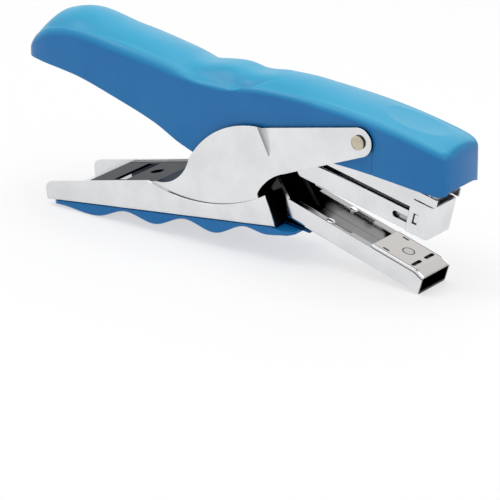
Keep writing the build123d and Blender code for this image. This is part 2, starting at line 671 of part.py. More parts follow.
def staple_channel():
    inner = CHANNEL_HALF - CHANNEL_SHEET
    floor = MAGAZINE_BOTTOM + CHANNEL_SHEET
    channel = box(CHANNEL_REAR, CHANNEL_FRONT, -CHANNEL_HALF, CHANNEL_HALF, MAGAZINE_BOTTOM, CHANNEL_TOP)
    tops = [e for e in channel.edges().filter_by(Axis.X) if e.center().Z > 0]
    channel = fillet(tops, CHANNEL_ROUND)
    ends = [
        e for e in channel.edges().filter_by(Axis.Y)
        if e.center().X < CHANNEL_REAR + 0.01 and e.center().Z < 0
    ]
    channel = fillet(ends, CHANNEL_REAR_ROUND)
    channel -= box(CHANNEL_REAR - 1, CHANNEL_FRONT + 1, -inner, inner, floor, CHANNEL_TOP - CHANNEL_SHEET)
    mouth = CHANNEL_HALF - CHANNEL_LIP
    channel -= box(CHANNEL_REAR - 1, CHANNEL_FRONT + 1, -mouth, mouth, 0, CHANNEL_TOP + 1)
    slot = Plane.XZ * SlotOverall(SIDE_SLOT_LENGTH, SIDE_SLOT_HEIGHT)
    channel -= Pos(SIDE_SLOT_X, 0, SIDE_SLOT_Z) * extrude(slot, HANDLE_HALF, both=True)
    return MAGAZINE_FRAME * channel


def staple_rail():
    floor = MAGAZINE_BOTTOM + CHANNEL_SHEET
    rail = box(RAIL_REAR, RAIL_FRONT, -RAIL_HALF, RAIL_HALF, floor, RAIL_TOP)
    inner = RAIL_HALF - RAIL_SHEET
    rail -= box(RAIL_REAR - 1, RAIL_FRONT + 1, -inner, inner, floor, RAIL_TOP - RAIL_SHEET)
    return MAGAZINE_FRAME * rail


def rear_stop():
    floor = MAGAZINE_BOTTOM + CHANNEL_SHEET
    inner = CHANNEL_HALF - CHANNEL_SHEET
    mouth = CHANNEL_HALF - CHANNEL_LIP
    stop = box(STOP_REAR, STOP_REAR + STOP_SHEET, -inner, inner, floor, CHANNEL_TOP - CHANNEL_SHEET)
    stop += box(STOP_REAR, STOP_REAR + STOP_SHEET, -mouth, mouth, 0, HOUSING_TOP - HOUSING_SHEET)
    return MAGAZINE_FRAME * (stop - rod(ROD_RADIUS))


def rod(radius):
    length = ROD_FRONT - STOP_REAR
    return Pos(STOP_REAR + length / 2, 0, ROD_HEIGHT) * Rot(0, 90, 0) * Cylinder(radius, length)


def guide_rod():
    return MAGAZINE_FRAME * rod(ROD_RADIUS)


def pusher():
    front, rear = PUSHER_FRONT, PUSHER_FRONT - PUSHER_LENGTH
    inner = RAIL_HALF + SLIDE_FIT
    half = inner + PUSHER_SHEET
    low = MAGAZINE_BOTTOM + CHANNEL_SHEET + SLIDE_FIT
    top = RAIL_TOP + SLIDE_FIT
    saddle = box(rear, front, -half, half, low, top + PUSHER_SHEET)
    saddle -= box(rear - 1, front + 1, -inner, inner, -2 * CHANNEL_HEIGHT, top)
    lug = box(rear, rear + PUSHER_LUG_LENGTH, -PUSHER_LUG_HALF, PUSHER_LUG_HALF, top, PUSHER_LUG_TOP)
    return MAGAZINE_FRAME * (saddle + lug - rod(ROD_RADIUS + RUNNING_FIT))


def pusher_spring():
    start = STOP_REAR + STOP_SHEET + SPRING_WIRE / 2
    end = PUSHER_FRONT - PUSHER_LENGTH - SPRING_WIRE / 2
    pitch = (end - start - 2 * SLIDE_FIT) / SPRING_TURNS
    spring = wound("pusher_spring", coil_arcs(SPRING_RADIUS, pitch, SPRING_TURNS), SPRING_WIRE, SPRING_RADIUS)
    return MAGAZINE_FRAME * Pos(start + SLIDE_FIT, 0, ROD_HEIGHT) * Rot(0, 90, 0) * spring


def leaf_spring():
    top = HOUSING_TOP
    foot = box(LEAF_REAR, LEAF_REAR + LEAF_FOOT, -LEAF_HALF, LEAF_HALF, top, top + LEAF_SHEET)
    foot -= upright(LEAF_REAR + LEAF_FOOT / 2, 0, top - 1, top + 1, LEAF_RIVET_RADIUS)
    start = LEAF_REAR + LEAF_FOOT
    tip_x = start + LEAF_REACH
    gap = leaf_gap(tip_x)
    knee_x, knee = start + LEAF_KNEE * LEAF_REACH, top + LEAF_KNEE_RISE * gap
    lower = ThreePointArc((start, top), (knee_x, knee), (tip_x, top + gap - LEAF_SHEET))
    upper = ThreePointArc((tip_x, top + gap), (knee_x, knee + LEAF_SHEET), (start, top + LEAF_SHEET))
    edges = lower + Line(lower @ 1, upper @ 0) + upper + Line(upper @ 1, lower @ 0)
    return MAGAZINE_FRAME * (foot + slab(make_face(edges), -LEAF_HALF, LEAF_HALF))


def leaf_gap(x):
    """Room above the housing's web, up to the frame, at x along the magazine."""
    spot = (MAGAZINE_FRAME * Pos(x, 0, HOUSING_TOP)).position
    under = frame_top(spot.X) - FRAME_SHEET - PASSING_GAP
    return (under - spot.Z) / math.cos(math.radians(MAGAZINE_DROOP)) * LEAF_FREE_SHARE


def leaf_rivet():
    under, over = HOUSING_TOP - HOUSING_SHEET, HOUSING_TOP + LEAF_SHEET
    rivet = headed_rivet(LEAF_REAR + LEAF_FOOT / 2, 0, under, over, LEAF_RIVET_RADIUS, LEAF_RIVET_HEAD)
    return MAGAZINE_FRAME * rivet


def handle_wall(lower):
    """Outline of the handle's wall in its own frame, above a lower edge."""
    top = Polyline((HANDLE_REAR, lower), (HANDLE_REAR, HANDLE_REAR_WALL), (HANDLE_PEAK_X, HANDLE_PEAK_WALL))
    dip = ThreePointArc(
        (HANDLE_PEAK_X, HANDLE_PEAK_WALL), (HANDLE_DIP_X, HANDLE_DIP_WALL),
        (HANDLE_FRONT_TOP_X, HANDLE_FRONT_WALL),
    )
    front = Polyline((HANDLE_FRONT_TOP_X, HANDLE_FRONT_WALL), (HANDLE_FRONT, lower), (HANDLE_REAR, lower))
    return make_face(top + dip + front)


def lower_handle():
    wall = handle_wall(0)
    rear = wall.vertices().sort_by(Axis.X)[:2].sort_by(Axis.Y)[-1:]
    handle = slab(fillet(rear, HANDLE_END_ROUND), -HANDLE_HALF, HANDLE_HALF)
    bends = [e for e in handle.edges().filter_by(Axis.X) if abs(e.center().Z) < 0.01]
    handle = fillet(bends, HANDLE_BEND)
    inner = CHEEK_HALF
    handle -= box(HANDLE_REAR - 1, HANDLE_FRONT + 1, -inner, inner, HANDLE_SHEET, 2 * HANDLE_PEAK_WALL)
    tongue = polygon(
        (TONGUE_REAR, 0), (TONGUE_FRONT, tongue_tip()), (TONGUE_FRONT, tongue_tip() + HANDLE_SHEET),
        (TONGUE_REAR, HANDLE_SHEET),
    )
    handle += slab(tongue, -TONGUE_HALF, TONGUE_HALF)
    for x in GRIP_SCREW_X:
        handle -= upright(x, 0, -1, 2 * HANDLE_SHEET, SCREW_RADIUS)
    return HANDLE_FRAME * handle


def cheek_outline():
    """Side of a cheek: rear wall in the handle, hub lobe, and arm round the front rivet."""
    pivot = Vector(FRONT_PIVOT_X, FRONT_PIVOT_Z)

    def around(angle):
        return pivot + Vector(math.cos(math.radians(angle)), math.sin(math.radians(angle))) * CHEEK_END_RADIUS

    arm_top = around(90 + CHEEK_ARM_RISE)
    arm_low = around(CHEEK_ARM_TAPER - 90)
    crease = (CHEEK_CREASE_X, CHEEK_CREASE_Z)
    floor = HANDLE_SHEET
    rear_low = on_handle(CHEEK_WEB_REAR, floor)
    rear_top = on_handle(CHEEK_WEB_REAR, web_height(CHEEK_WEB_REAR))
    tip = on_handle(CHEEK_WEB_FRONT, web_height(CHEEK_WEB_FRONT))
    front_low = on_handle(HANDLE_FRONT_TOP_X - CHEEK_FRONT_INSET, floor)
    throat = on_handle(HANDLE_FRONT_TOP_X - CHEEK_THROAT_INSET, HANDLE_FRONT_WALL)
    return make_face(
        Polyline(rear_low, rear_top, tip)
        + ThreePointArc(tip, CHEEK_WAIST_BOW, CHEEK_WAIST)
        + ThreePointArc(CHEEK_WAIST, CHEEK_LOBE_BOW, crease)
        + Polyline(crease, arm_top)
        + ThreePointArc(arm_top, around(0), arm_low)
        + Polyline(arm_low, CHEEK_THROAT)
        + ThreePointArc(CHEEK_THROAT, CHEEK_THROAT_BOW, throat)
        + Polyline(throat, front_low, rear_low)
    )


def web_height(x):
    return sloped(x, HANDLE_REAR, HANDLE_REAR_WALL, HANDLE_PEAK_X, HANDLE_PEAK_WALL) - CHEEK_WEB_DROP


def jogged_sheet():
    """A sheet that steps inwards across the crease, long enough for a whole cheek."""
    far = 3 * OVERALL_LENGTH
    arm_in, lobe_in = CHEEK_ARM_HALF - CHEEK_SHEET, CHEEK_HALF - CHEEK_SHEET
    section = polygon(
        (-far, lobe_in), (0, lobe_in), (CHEEK_CREASE_RUN, arm_in), (far, arm_in),
        (far, CHEEK_ARM_HALF), (CHEEK_CREASE_RUN, CHEEK_ARM_HALF), (0, CHEEK_HALF), (-far, CHEEK_HALF),
    )
    sheet = extrude(section, far, both=True)
    return Pos(CHEEK_CREASE_X, 0, CHEEK_CREASE_Z) * Rot(0, CHEEK_CREASE_ANGLE - 90, 0) * sheet


def cheek_bracket():
    cheek = slab(cheek_outline(), CHEEK_ARM_HALF - CHEEK_SHEET, CHEEK_HALF) & jogged_sheet()
    bracket = cheek + mirror(cheek, Plane.XZ)
    inner = CHEEK_HALF - CHEEK_SHEET
    rear, front = CHEEK_WEB_REAR, CHEEK_WEB_FRONT
    top = [
        (rear, web_height(rear)), (front, web_height(front)),
        (front + CHEEK_FLANGE_RUN, web_height(front) - CHEEK_FLANGE_DROP),
    ]
    under = [(x, z - CHEEK_SHEET) for x, z in reversed(top)]
    web = slab(polygon(*top, *under), -inner, inner)
    web -= upright(CHEEK_HOLE_X, 0, 0, 2 * HANDLE_PEAK_WALL, CHEEK_HOLE_RADIUS)
    web -= box(
        CHEEK_SLOT_X - CHEEK_SLOT_LENGTH / 2, CHEEK_SLOT_X + CHEEK_SLOT_LENGTH / 2,
        -CHEEK_SLOT_HALF, CHEEK_SLOT_HALF, 0, 2 * HANDLE_PEAK_WALL,
    )
    bracket += HANDLE_FRAME * web
    return bracket - cross_pin(FRONT_PIVOT_X, FRONT_PIVOT_Z, PIVOT_PIN_RADIUS + RUNNING_FIT, HANDLE_HALF)


def lower_grip():
    half = HANDLE_HALF - GRIP_MARGIN
    rear = HANDLE_REAR + GRIP_MARGIN
    wave = [(rear, -GRIP_REAR_DEPTH)]
    for bump in range(3):
        x = FIRST_BUMP_X + bump * FINGER_PITCH
        wave.append((x, -FINGER_DEPTH - bump * FINGER_GROWTH))
        wave.append((x + FINGER_PITCH / 2, -VALLEY_DEPTH))
    wave += [(LAST_BUMP_X, -LAST_BUMP_DEPTH), (GRIP_NOSE, tongue_under(GRIP_NOSE) - GRIP_NOSE_DEPTH)]
    top = Polyline(
        wave[-1], (GRIP_NOSE, tongue_under(GRIP_NOSE)), (TONGUE_REAR, 0), (rear, 0), wave[0],
    )
    level = [(1, 0)] * len(wave)
    grip = slab(make_face(Spline(*wave, tangents=level) + top), -half, half)
    grip = fillet(grip.edges().filter_by(GeomType.BSPLINE), GRIP_ROUND)
    length = GRIP_NOSE - rear
    plan = RectangleRounded(length + GRIP_ROUND, 2 * half + GRIP_ROUND, GRIP_NOSE_ROUND)
    grip &= Pos(rear + length / 2, 0, 0) * extrude(plan, 2 * FINGER_DEPTH, both=True)
    for x in GRIP_SCREW_X:
        grip -= upright(x, 0, -GRIP_SCREW_DEPTH, 1, SCREW_RADIUS)
    return HANDLE_FRAME * grip


def tongue_tip():
    """Underside of the tongue's tip, a small gap and a sheet below the anvil arm."""
    tip = (HANDLE_FRAME * Pos(TONGUE_FRONT, 0, 0)).position
    arm_drop = (tip.X - REAR_PIVOT_X) * math.tan(ARM_DROOP_TURN) + ARM_FLOOR / math.cos(ARM_DROOP_TURN)
    arm_under = REAR_PIVOT_Z - arm_drop
    return (arm_under - TONGUE_GAP - tip.Z) / math.cos(math.radians(HANDLE_RISE)) - HANDLE_SHEET


def tongue_under(x):
    """Underside of the handle's front tongue, in the handle's frame."""
    return sloped(x, TONGUE_REAR, 0, TONGUE_FRONT, tongue_tip())


def grip_screws():
    screws = []
    for x in GRIP_SCREW_X:
        screw = upright(x, 0, -GRIP_SCREW_DEPTH, HANDLE_SHEET, SCREW_RADIUS)
        head = upright(x, 0, HANDLE_SHEET, HANDLE_SHEET + SCREW_HEAD_HEIGHT, SCREW_HEAD_RADIUS)
        screws.append(screw + head)
    return HANDLE_FRAME * Compound(screws)


NODES = {
    "upper_cover": upper_cover,
    "upper_frame": upper_frame,
    "cover_screws": cover_screws,
    "driver_blade": driver_blade,
    "driver_rivets": driver_rivets,
    "front_pivot_rivet": front_pivot_rivet,
    "rear_pivot_pin": rear_pivot_pin,
    "return_spring": return_spring,
    "lower_handle": lower_handle,
    "cheek_bracket": cheek_bracket,
    "lower_grip": lower_grip,
    "grip_screws": grip_screws,
    "anvil_arm": anvil_arm,
    "anvil_plate": anvil_plate,
    "anvil_rivet": anvil_rivet,
    "magazine_housing": magazine_housing,
    "magazine_spring": leaf_spring,
    "magazine_spring_rivet": leaf_rivet,
    "staple_channel": staple_channel,
    "staple_rail": staple_rail,
    "rear_stop": rear_stop,
    "guide_rod": guide_rod,
    "pusher": pusher,
    "pusher_spring": pusher_spring,
}

os.makedirs("parts", exist_ok=True)
for name, make in NODES.items():
    export_step(make(), f"parts/{name}.step")
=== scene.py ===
import json
import math

import bmesh
import bpy
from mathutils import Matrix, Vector


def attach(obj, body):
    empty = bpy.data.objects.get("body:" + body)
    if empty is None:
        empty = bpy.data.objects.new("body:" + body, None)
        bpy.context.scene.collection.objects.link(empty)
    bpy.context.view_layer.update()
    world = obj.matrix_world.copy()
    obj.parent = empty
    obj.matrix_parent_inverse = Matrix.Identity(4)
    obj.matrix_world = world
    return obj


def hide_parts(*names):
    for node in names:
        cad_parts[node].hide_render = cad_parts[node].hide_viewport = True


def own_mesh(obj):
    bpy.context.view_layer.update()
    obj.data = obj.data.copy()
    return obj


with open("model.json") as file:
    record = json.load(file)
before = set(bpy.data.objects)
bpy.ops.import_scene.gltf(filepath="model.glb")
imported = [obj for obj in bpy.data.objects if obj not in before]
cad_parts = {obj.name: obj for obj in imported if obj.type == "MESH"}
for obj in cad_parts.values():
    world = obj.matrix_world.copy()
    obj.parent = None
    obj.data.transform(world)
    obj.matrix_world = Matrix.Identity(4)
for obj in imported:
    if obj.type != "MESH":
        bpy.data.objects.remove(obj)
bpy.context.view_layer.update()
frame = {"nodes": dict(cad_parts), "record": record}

MM = 0.001

# Camera, at the angle of the photograph
CAMERA_AZIMUTH = 35.7
CAMERA_ELEVATION = 20.4
CAMERA_DISTANCE = 1250 * MM
CAMERA_PIVOT = Vector((6.5, 0.0, 20.2)) * MM
CAMERA_TARGET = Vector((8.0, -8.2, 0.1)) * MM
CAMERA_LENS = 252.0
CAMERA_REACH = 20.0

# Finishes, painted light and painted shade, as linear colours
# Painted light: faces of the plastic that look up are painted in this lighter top blue
BLUE_LIT_TOP = (0.026, 0.355, 0.570)
BLUE_SIDE = (0.002, 0.142, 0.400)
BLUE_DUST = (0.050, 0.300, 0.540)
CHROME_TONE = (0.780, 0.783, 0.792)
CHROME_DULL = (0.680, 0.685, 0.698)
# Painted shade on the cheek's inner faces and web, for the dark they mirror
CHEEK_INNER_SHADE_TONE = (0.040, 0.050, 0.064)
# Painted shade along the cheek's crease
CREASE_SHADE_TONE = (0.240, 0.245, 0.255)
SATIN_TONE = (0.400, 0.386, 0.374)
SATIN_DULL = (0.330, 0.318, 0.306)
# Painted shade on the tops of the arm's lips
LIP_SHADE_TONE = (0.300, 0.300, 0.305)
# Painted shade on the arm's floor, for the dark underside it mirrors
ARM_FLOOR_SHADE_TONE = (0.520, 0.520, 0.525)
# Painted shade for dark lines: beside the arm's bead, along the plate's edges and on the rivet's foot
DARK_SHADE_TONE = (0.060, 0.060, 0.062)
# Painted shade: the return spring, near black in the shaded throat
SHADED_WIRE_TONE = (0.016, 0.016, 0.017)
# Painted shade on the arm's rear end and its ears
EAR_SHADE_TONE = (0.035, 0.035, 0.037)
# Painted reflection of the blue grip on the handle's tongue
TONGUE_REFLECTION_TONE = (0.006, 0.060, 0.160)
SHADE_TONE = (0.012, 0.012, 0.013)
# Painted shade in the plate's pockets and under its top
POCKET_SHADE_TONE = (0.030, 0.029, 0.028)
STEEL_TONE = (0.480, 0.490, 0.510)
STEEL_DULL = (0.330, 0.340, 0.360)
NICKEL_TONE = (0.700, 0.640, 0.520)
NICKEL_DULL = (0.480, 0.420, 0.320)
WIRE_TONE = (0.260, 0.265, 0.280)
WIRE_DULL = (0.160, 0.165, 0.175)
COPPER_TONE = (0.560, 0.270, 0.140)
COPPER_DULL = (0.330, 0.140, 0.070)
WHITE = (1.0, 1.0, 1.0)

# Plain floor, background and lamps: name, place, aim, size and watts, in metres
FLOOR_SIZE, FLOOR_GLOW = 8.0, 0.6
FLOOR_TONE, FLOOR_ROUGHNESS, FLOOR_SPECULAR = (0.930, 0.930, 0.935), 0.9, 0.1
WORLD_LIGHT, WORLD_SEEN = 0.55, 1.0
LAMPS = (
    ("overhead", (0.05, 0.0, 0.9), (0.0, 0.0, 0.03), (0.9, 0.7), 3.6),
    ("upper left", (-0.62, -0.40, 0.85), (0.0, 0.0, 0.05), (0.4, 0.4), 1.9),
    ("front right", (0.9, -0.35, 0.4), (0.04, 0.0, 0.03), (0.6, 0.5), 1.0),
    ("back", (-0.1, 1.2, 1.0), (0.0, 0.0, 0.05), (1.8, 1.0), 2.4),
)

# Plastic: how far a face looks up where its lighter top tone, painted light, starts and is full, and how much
# its smudges show
LIT_TOP_START, LIT_TOP_FULL, TOP_SMUDGE = 0.1, 0.95, 0.12

# Grains: scale, and stretch along X
MOULD_GRAIN, SHEET_GRAIN, ROLLED_GRAIN = (2600.0, 1.0), (1400.0, 0.2), (2200.0, 0.05)
NICKEL_GRAIN, WIRE_GRAIN = (1800.0, 1.0), (2600.0, 0.3)

# Height of the grain, and how finely rounded edges are sampled
GRAIN_HEIGHT, EDGE_SAMPLES = 0.05 * MM, 6

# Points of a copied mesh closer than this are one point, and edges sharper than this stay sharp
MERGE_DISTANCE = 1e-6
SHARP_ANGLE = math.radians(40)

# Tilts in degrees, and the pin that the magazine and the arm turn on
MAGAZINE_DROOP, ARM_DROOP, HANDLE_RISE = 12.6, 16.4, 6.6
REAR_PIVOT = Vector((8.5, 0.0, 41.006)) * MM


def fill(tree, socket, value):
    """Links an output to a socket, or sets the socket to a value."""
    if isinstance(value, bpy.types.NodeSocket):
        tree.links.new(value, socket)
    else:
        socket.default_value = value


def add_node(tree, kind, settings=None, **values):
    """A new node of a tree, with its settings, and a value or an output for each named socket."""
    node = tree.nodes.new(kind)
    for name, setting in (settings or {}).items():
        setattr(node, name, setting)
    for label, value in values.items():
        fill(tree, node.inputs[label.replace("_", " ")], value)
    return node


def number(tree, operation, *values, clamp=False):
    """The result of a sum on numbers."""
    node = add_node(tree, "ShaderNodeMath", {"operation": operation, "use_clamp": clamp})
    for socket, value in zip(node.inputs, values):
        fill(tree, socket, value)
    return node.outputs["Value"]


def vector(tree, operation, a, b):
    """The result of a sum on two vectors."""
    node = add_node(tree, "ShaderNodeVectorMath", {"operation": operation})
    fill(tree, node.inputs[0], a)
    fill(tree, node.inputs[1], b)
    return node.outputs["Value" if operation == "DOT_PRODUCT" else "Vector"]


def mixed(tree, share, first, second):
    """A colour between two others, each a tone or an output."""
    ends = [c if isinstance(c, bpy.types.NodeSocket) else (*c, 1.0) for c in (first, second)]
    node = add_node(tree, "ShaderNodeMix", {"data_type": "RGBA"}, Factor=share, A=ends[0], B=ends[1])
    return node.outputs["Result"]


def add_group(tree, group, values):
    """The outputs of a shader group with these inputs."""
    node = add_node(tree, "ShaderNodeGroup", {"node_tree": group})
    for label, value in values.items():
        fill(tree, node.inputs[label], value)
    return node.outputs


def new_group(name, inputs, outputs):
    """An empty shader group with named sockets: the group, its inputs and its outputs."""
    group = bpy.data.node_groups.new(name, "ShaderNodeTree")
    for label, kind, value in inputs:
        socket = group.interface.new_socket(label, in_out="INPUT", socket_type=kind)
        socket.default_value = value
    for label in outputs:
        group.interface.new_socket(label, in_out="OUTPUT", socket_type="NodeSocketFloat")
    given, out = group.nodes.new("NodeGroupInput"), group.nodes.new("NodeGroupOutput")
    return group, given.outputs, out.inputs


def handling_marks():
    """Soft smudges from fingers and fine hairline scratches, as two masks."""
    group, given, out = new_group(
        "handling marks",
        [
            ("Smudge Scale", "NodeSocketFloat", 60.0),
            ("Scratch Scale", "NodeSocketFloat", 900.0),
            ("Scratch Share", "NodeSocketFloat", 0.5),
        ],
        ["Smudge", "Scratch"],
    )
    place = add_node(group, "ShaderNodeTexCoord").outputs["Object"]
    smudge = add_node(
        group, "ShaderNodeTexNoise", Vector=place, Scale=given["Smudge Scale"], Detail=5.0, Roughness=0.62,
    )
    spread = add_node(
        group, "ShaderNodeMapRange", Value=smudge.outputs["Fac"], From_Min=0.35, From_Max=0.68,
    )
    drawn = add_node(
        group, "ShaderNodeMapping", Vector=place, Scale=(0.05, 1.0, 1.0),
        Rotation=(0.0, math.radians(11), 0.0),
    )
    hair = add_node(
        group, "ShaderNodeTexNoise", Vector=drawn.outputs["Vector"], Scale=given["Scratch Scale"], Detail=3.0,
    )
    thin = add_node(
        group, "ShaderNodeMapRange", Value=hair.outputs["Fac"], From_Min=given["Scratch Share"], From_Max=0.8,
    )
    fill(group, out["Smudge"], spread.outputs["Result"])
    fill(group, out["Scratch"], thin.outputs["Result"])
    return group


def fine_grain():
    """A close pebbled height, as left by a mould or by rolling."""
    group, given, out = new_group(
        "fine grain",
        [("Scale", "NodeSocketFloat", 3000.0), ("Stretch", "NodeSocketFloat", 1.0)],
        ["Height"],
    )
    place = add_node(group, "ShaderNodeTexCoord").outputs["Object"]
    along = add_node(group, "ShaderNodeCombineXYZ", X=given["Stretch"], Y=1.0, Z=1.0).outputs["Vector"]
    drawn = vector(group, "MULTIPLY", place, along)
    noise = add_node(group, "ShaderNodeTexNoise", Vector=drawn, Scale=given["Scale"], Detail=2.0)
    fill(group, out["Height"], noise.outputs["Fac"])
    return group


def inner_side():
    """Mask of faces within a half width, below a level, between two ends and looking up enough."""
    group, given, out = new_group(
        "inner side",
        [
            ("Half Width", "NodeSocketFloat", 0.010),
            ("Up", "NodeSocketVector", (0.0, 0.0, 1.0)),
            ("Level", "NodeSocketFloat", 1.0),
            ("Rear", "NodeSocketFloat", -1.0),
            ("Front", "NodeSocketFloat", 1.0),
            ("Soft", "NodeSocketFloat", 0.0001),
            ("Facing", "NodeSocketFloat", -0.6),
        ],
        ["Mask"],
    )
    place = add_node(group, "ShaderNodeTexCoord").outputs
    spot = add_node(group, "ShaderNodeSeparateXYZ", Vector=place["Object"]).outputs
    mask = number(group, "LESS_THAN", number(group, "ABSOLUTE", spot["Y"]), given["Half Width"])
    for source, check, limit in (("Object", "LESS_THAN", "Level"), ("Normal", "GREATER_THAN", "Facing")):
        height = vector(group, "DOT_PRODUCT", place[source], given["Up"])
        mask = number(group, "MULTIPLY", mask, number(group, check, height, given[limit]))
    for limit, first, last in (("Rear", 0.0, 1.0), ("Front", 1.0, 0.0)):
        fade = add_node(
            group, "ShaderNodeMapRange", Value=spot["X"],
            From_Min=number(group, "SUBTRACT", given[limit], given["Soft"]),
            From_Max=number(group, "ADD", given[limit], given["Soft"]),
            To_Min=first, To_Max=last,
        )
        mask = number(group, "MULTIPLY", mask, fade.outputs["Result"])
    fill(group, out["Mask"], mask)
    return group


def crease_shade_mask():
    """Mask of painted shade along a crease in X and Z, strongest along one side, that narrows from its start
    to nothing.
    """
    group, given, out = new_group(
        "crease shade",
        [
            ("Start", "NodeSocketVector", (0.0, 0.0, 0.0)),
            ("Along", "NodeSocketVector", (0.0, 0.0, -1.0)),
            ("Across", "NodeSocketVector", (1.0, 0.0, 0.0)),
            ("Length", "NodeSocketFloat", 0.010),
            ("Width", "NodeSocketFloat", 0.003),
            ("Taper", "NodeSocketFloat", 0.45),
        ],
        ["Mask"],
    )
    place = add_node(group, "ShaderNodeTexCoord").outputs["Object"]
    offset = vector(group, "SUBTRACT", place, given["Start"])
    along, across = (
        number(group, "DIVIDE", vector(group, "DOT_PRODUCT", offset, given[direction]), given[size])
        for direction, size in (("Along", "Length"), ("Across", "Width"))
    )
    left = number(group, "SUBTRACT", 1.0, along, clamp=True)
    share = number(group, "DIVIDE", across, number(group, "POWER", left, given["Taper"]))
    shape = add_node(group, "ShaderNodeValToRGB", Fac=share)
    stops = shape.color_ramp.elements
    for stop in stops:
        stop.color = (0.0, 0.0, 0.0, 1.0)
    for position, level in ((0.10, 1.0), (0.55, 0.55), (0.92, 0.25)):
        stops.new(position).color = (level, level, level, 1.0)
    fill(group, out["Mask"], shape.outputs["Color"])
    return group


MARKS = handling_marks()
GRAIN = fine_grain()
INNER = inner_side()
CREASE_SHADE = crease_shade_mask()


def finish_material(
    name, tone, dull, metallic, roughness, grain, bump,
    specular=0.5, edge=0.0, smudge=60.0, scratch=0.55, lit_top_tone=None, insides=(), crease=None, grazing=1.0,
):
    """A surface with two tones, a roughness range, a grain and rounded-looking edges.

    lit_top_tone is a lighter tone painted as light on faces that look up, insides are tones within limits,
    most of them painted shade, crease is painted shade along one crease pressed into the sheet, and grazing
    tints what a metal mirrors at a flat angle.
    """
    material = bpy.data.materials.new(name)
    material.use_nodes = True
    tree = material.node_tree
    shader = tree.nodes["Principled BSDF"].inputs
    shader["Metallic"].default_value = metallic
    shader["Specular IOR Level"].default_value = specular
    shader["Specular Tint"].default_value = (grazing, grazing, grazing, 1.0)
    marks = add_group(tree, MARKS, {"Smudge Scale": smudge, "Scratch Share": scratch})
    # Painted light: faces that look up blend towards the lighter top tone
    if lit_top_tone:
        normal = add_node(tree, "ShaderNodeTexCoord").outputs["Normal"]
        upward = add_node(tree, "ShaderNodeSeparateXYZ", Vector=normal).outputs["Z"]
        rise = add_node(
            tree, "ShaderNodeMapRange", Value=upward, From_Min=LIT_TOP_START, From_Max=LIT_TOP_FULL,
        )
        base = mixed(tree, rise.outputs["Result"], tone, lit_top_tone)
        blend = mixed(tree, number(tree, "MULTIPLY", marks["Smudge"], TOP_SMUDGE), base, dull)
    else:
        blend = mixed(tree, marks["Smudge"], tone, dull)
    # Painted shade: a grey band along one crease
    if crease:
        (x, z), slope, length, width = crease
        slope = math.radians(slope)
        fold = add_group(tree, CREASE_SHADE, {
            "Start": (x * MM, 0.0, z * MM),
            "Along": (math.cos(slope), 0.0, -math.sin(slope)),
            "Across": (math.sin(slope), 0.0, math.cos(slope)),
            "Length": length * MM,
            "Width": width * MM,
        })
        blend = mixed(tree, fold["Mask"], blend, CREASE_SHADE_TONE)
    for tone_inside, limits in insides:
        blend = mixed(tree, add_group(tree, INNER, limits)["Mask"], blend, tone_inside)
    fill(tree, shader["Base Color"], blend)
    worn = number(tree, "MAXIMUM", marks["Smudge"], marks["Scratch"])
    rough = add_node(tree, "ShaderNodeMapRange", Value=worn, To_Min=roughness[0], To_Max=roughness[1])
    fill(tree, shader["Roughness"], rough.outputs["Result"])
    texture = add_group(tree, GRAIN, {"Scale": grain[0], "Stretch": grain[1]})
    relief = add_node(
        tree, "ShaderNodeBump", Height=texture["Height"], Strength=bump, Distance=GRAIN_HEIGHT,
    )
    if edge:
        rounded = add_node(tree, "ShaderNodeBevel", {"samples": EDGE_SAMPLES}, Radius=edge)
        fill(tree, relief.inputs["Normal"], rounded.outputs["Normal"])
    fill(tree, shader["Normal"], relief.outputs["Normal"])
    return material


def chrome_plate(
    name, *insides, tone=CHROME_TONE, dull=CHROME_DULL, roughness=(0.09, 0.18), crease=None, grazing=1.0,
):
    """A bright plated sheet."""
    return finish_material(
        name, tone, dull, metallic=1.0, roughness=roughness, grain=SHEET_GRAIN, bump=0.03,
        edge=0.25 * MM, insides=insides, crease=crease, grazing=grazing,
    )


def moulded_plastic(name, lit_top_tone, specular, smudge=60.0):
    """Blue plastic whose faces that look up get a lighter tone, painted light."""
    return finish_material(
        name, BLUE_SIDE, BLUE_DUST, metallic=0.0, roughness=(0.30, 0.38), grain=MOULD_GRAIN, bump=0.03,
        specular=specular, edge=0.3 * MM, smudge=smudge, scratch=0.70, lit_top_tone=lit_top_tone,
    )


def tilted_up(degrees):
    """The upward direction of a piece whose front is tilted down."""
    return (math.sin(math.radians(degrees)), 0.0, math.cos(math.radians(degrees)))


MATERIALS = {
    "blue_plastic": moulded_plastic("blue moulded plastic", lit_top_tone=BLUE_LIT_TOP, specular=0.34),
    "chrome": chrome_plate("bright chrome plate"),
    "frame_steel": finish_material(
        "rolled steel", STEEL_TONE, STEEL_DULL,
        metallic=1.0, roughness=(0.28, 0.42), grain=ROLLED_GRAIN, bump=0.12, edge=0.15 * MM,
    ),
    "nickel": finish_material(
        "nickel plate", NICKEL_TONE, NICKEL_DULL,
        metallic=1.0, roughness=(0.18, 0.32), grain=NICKEL_GRAIN, bump=0.06, edge=0.12 * MM,
    ),
    "spring_steel": finish_material(
        "tempered spring steel", WIRE_TONE, WIRE_DULL,
        metallic=1.0, roughness=(0.25, 0.40), grain=WIRE_GRAIN, bump=0.08,
    ),
    "copper_wire": finish_material(
        "copper coated wire", COPPER_TONE, COPPER_DULL,
        metallic=1.0, roughness=(0.22, 0.38), grain=WIRE_GRAIN, bump=0.08,
    ),
}

# A limit beyond the whole object, in millimetres
FAR = 500.0


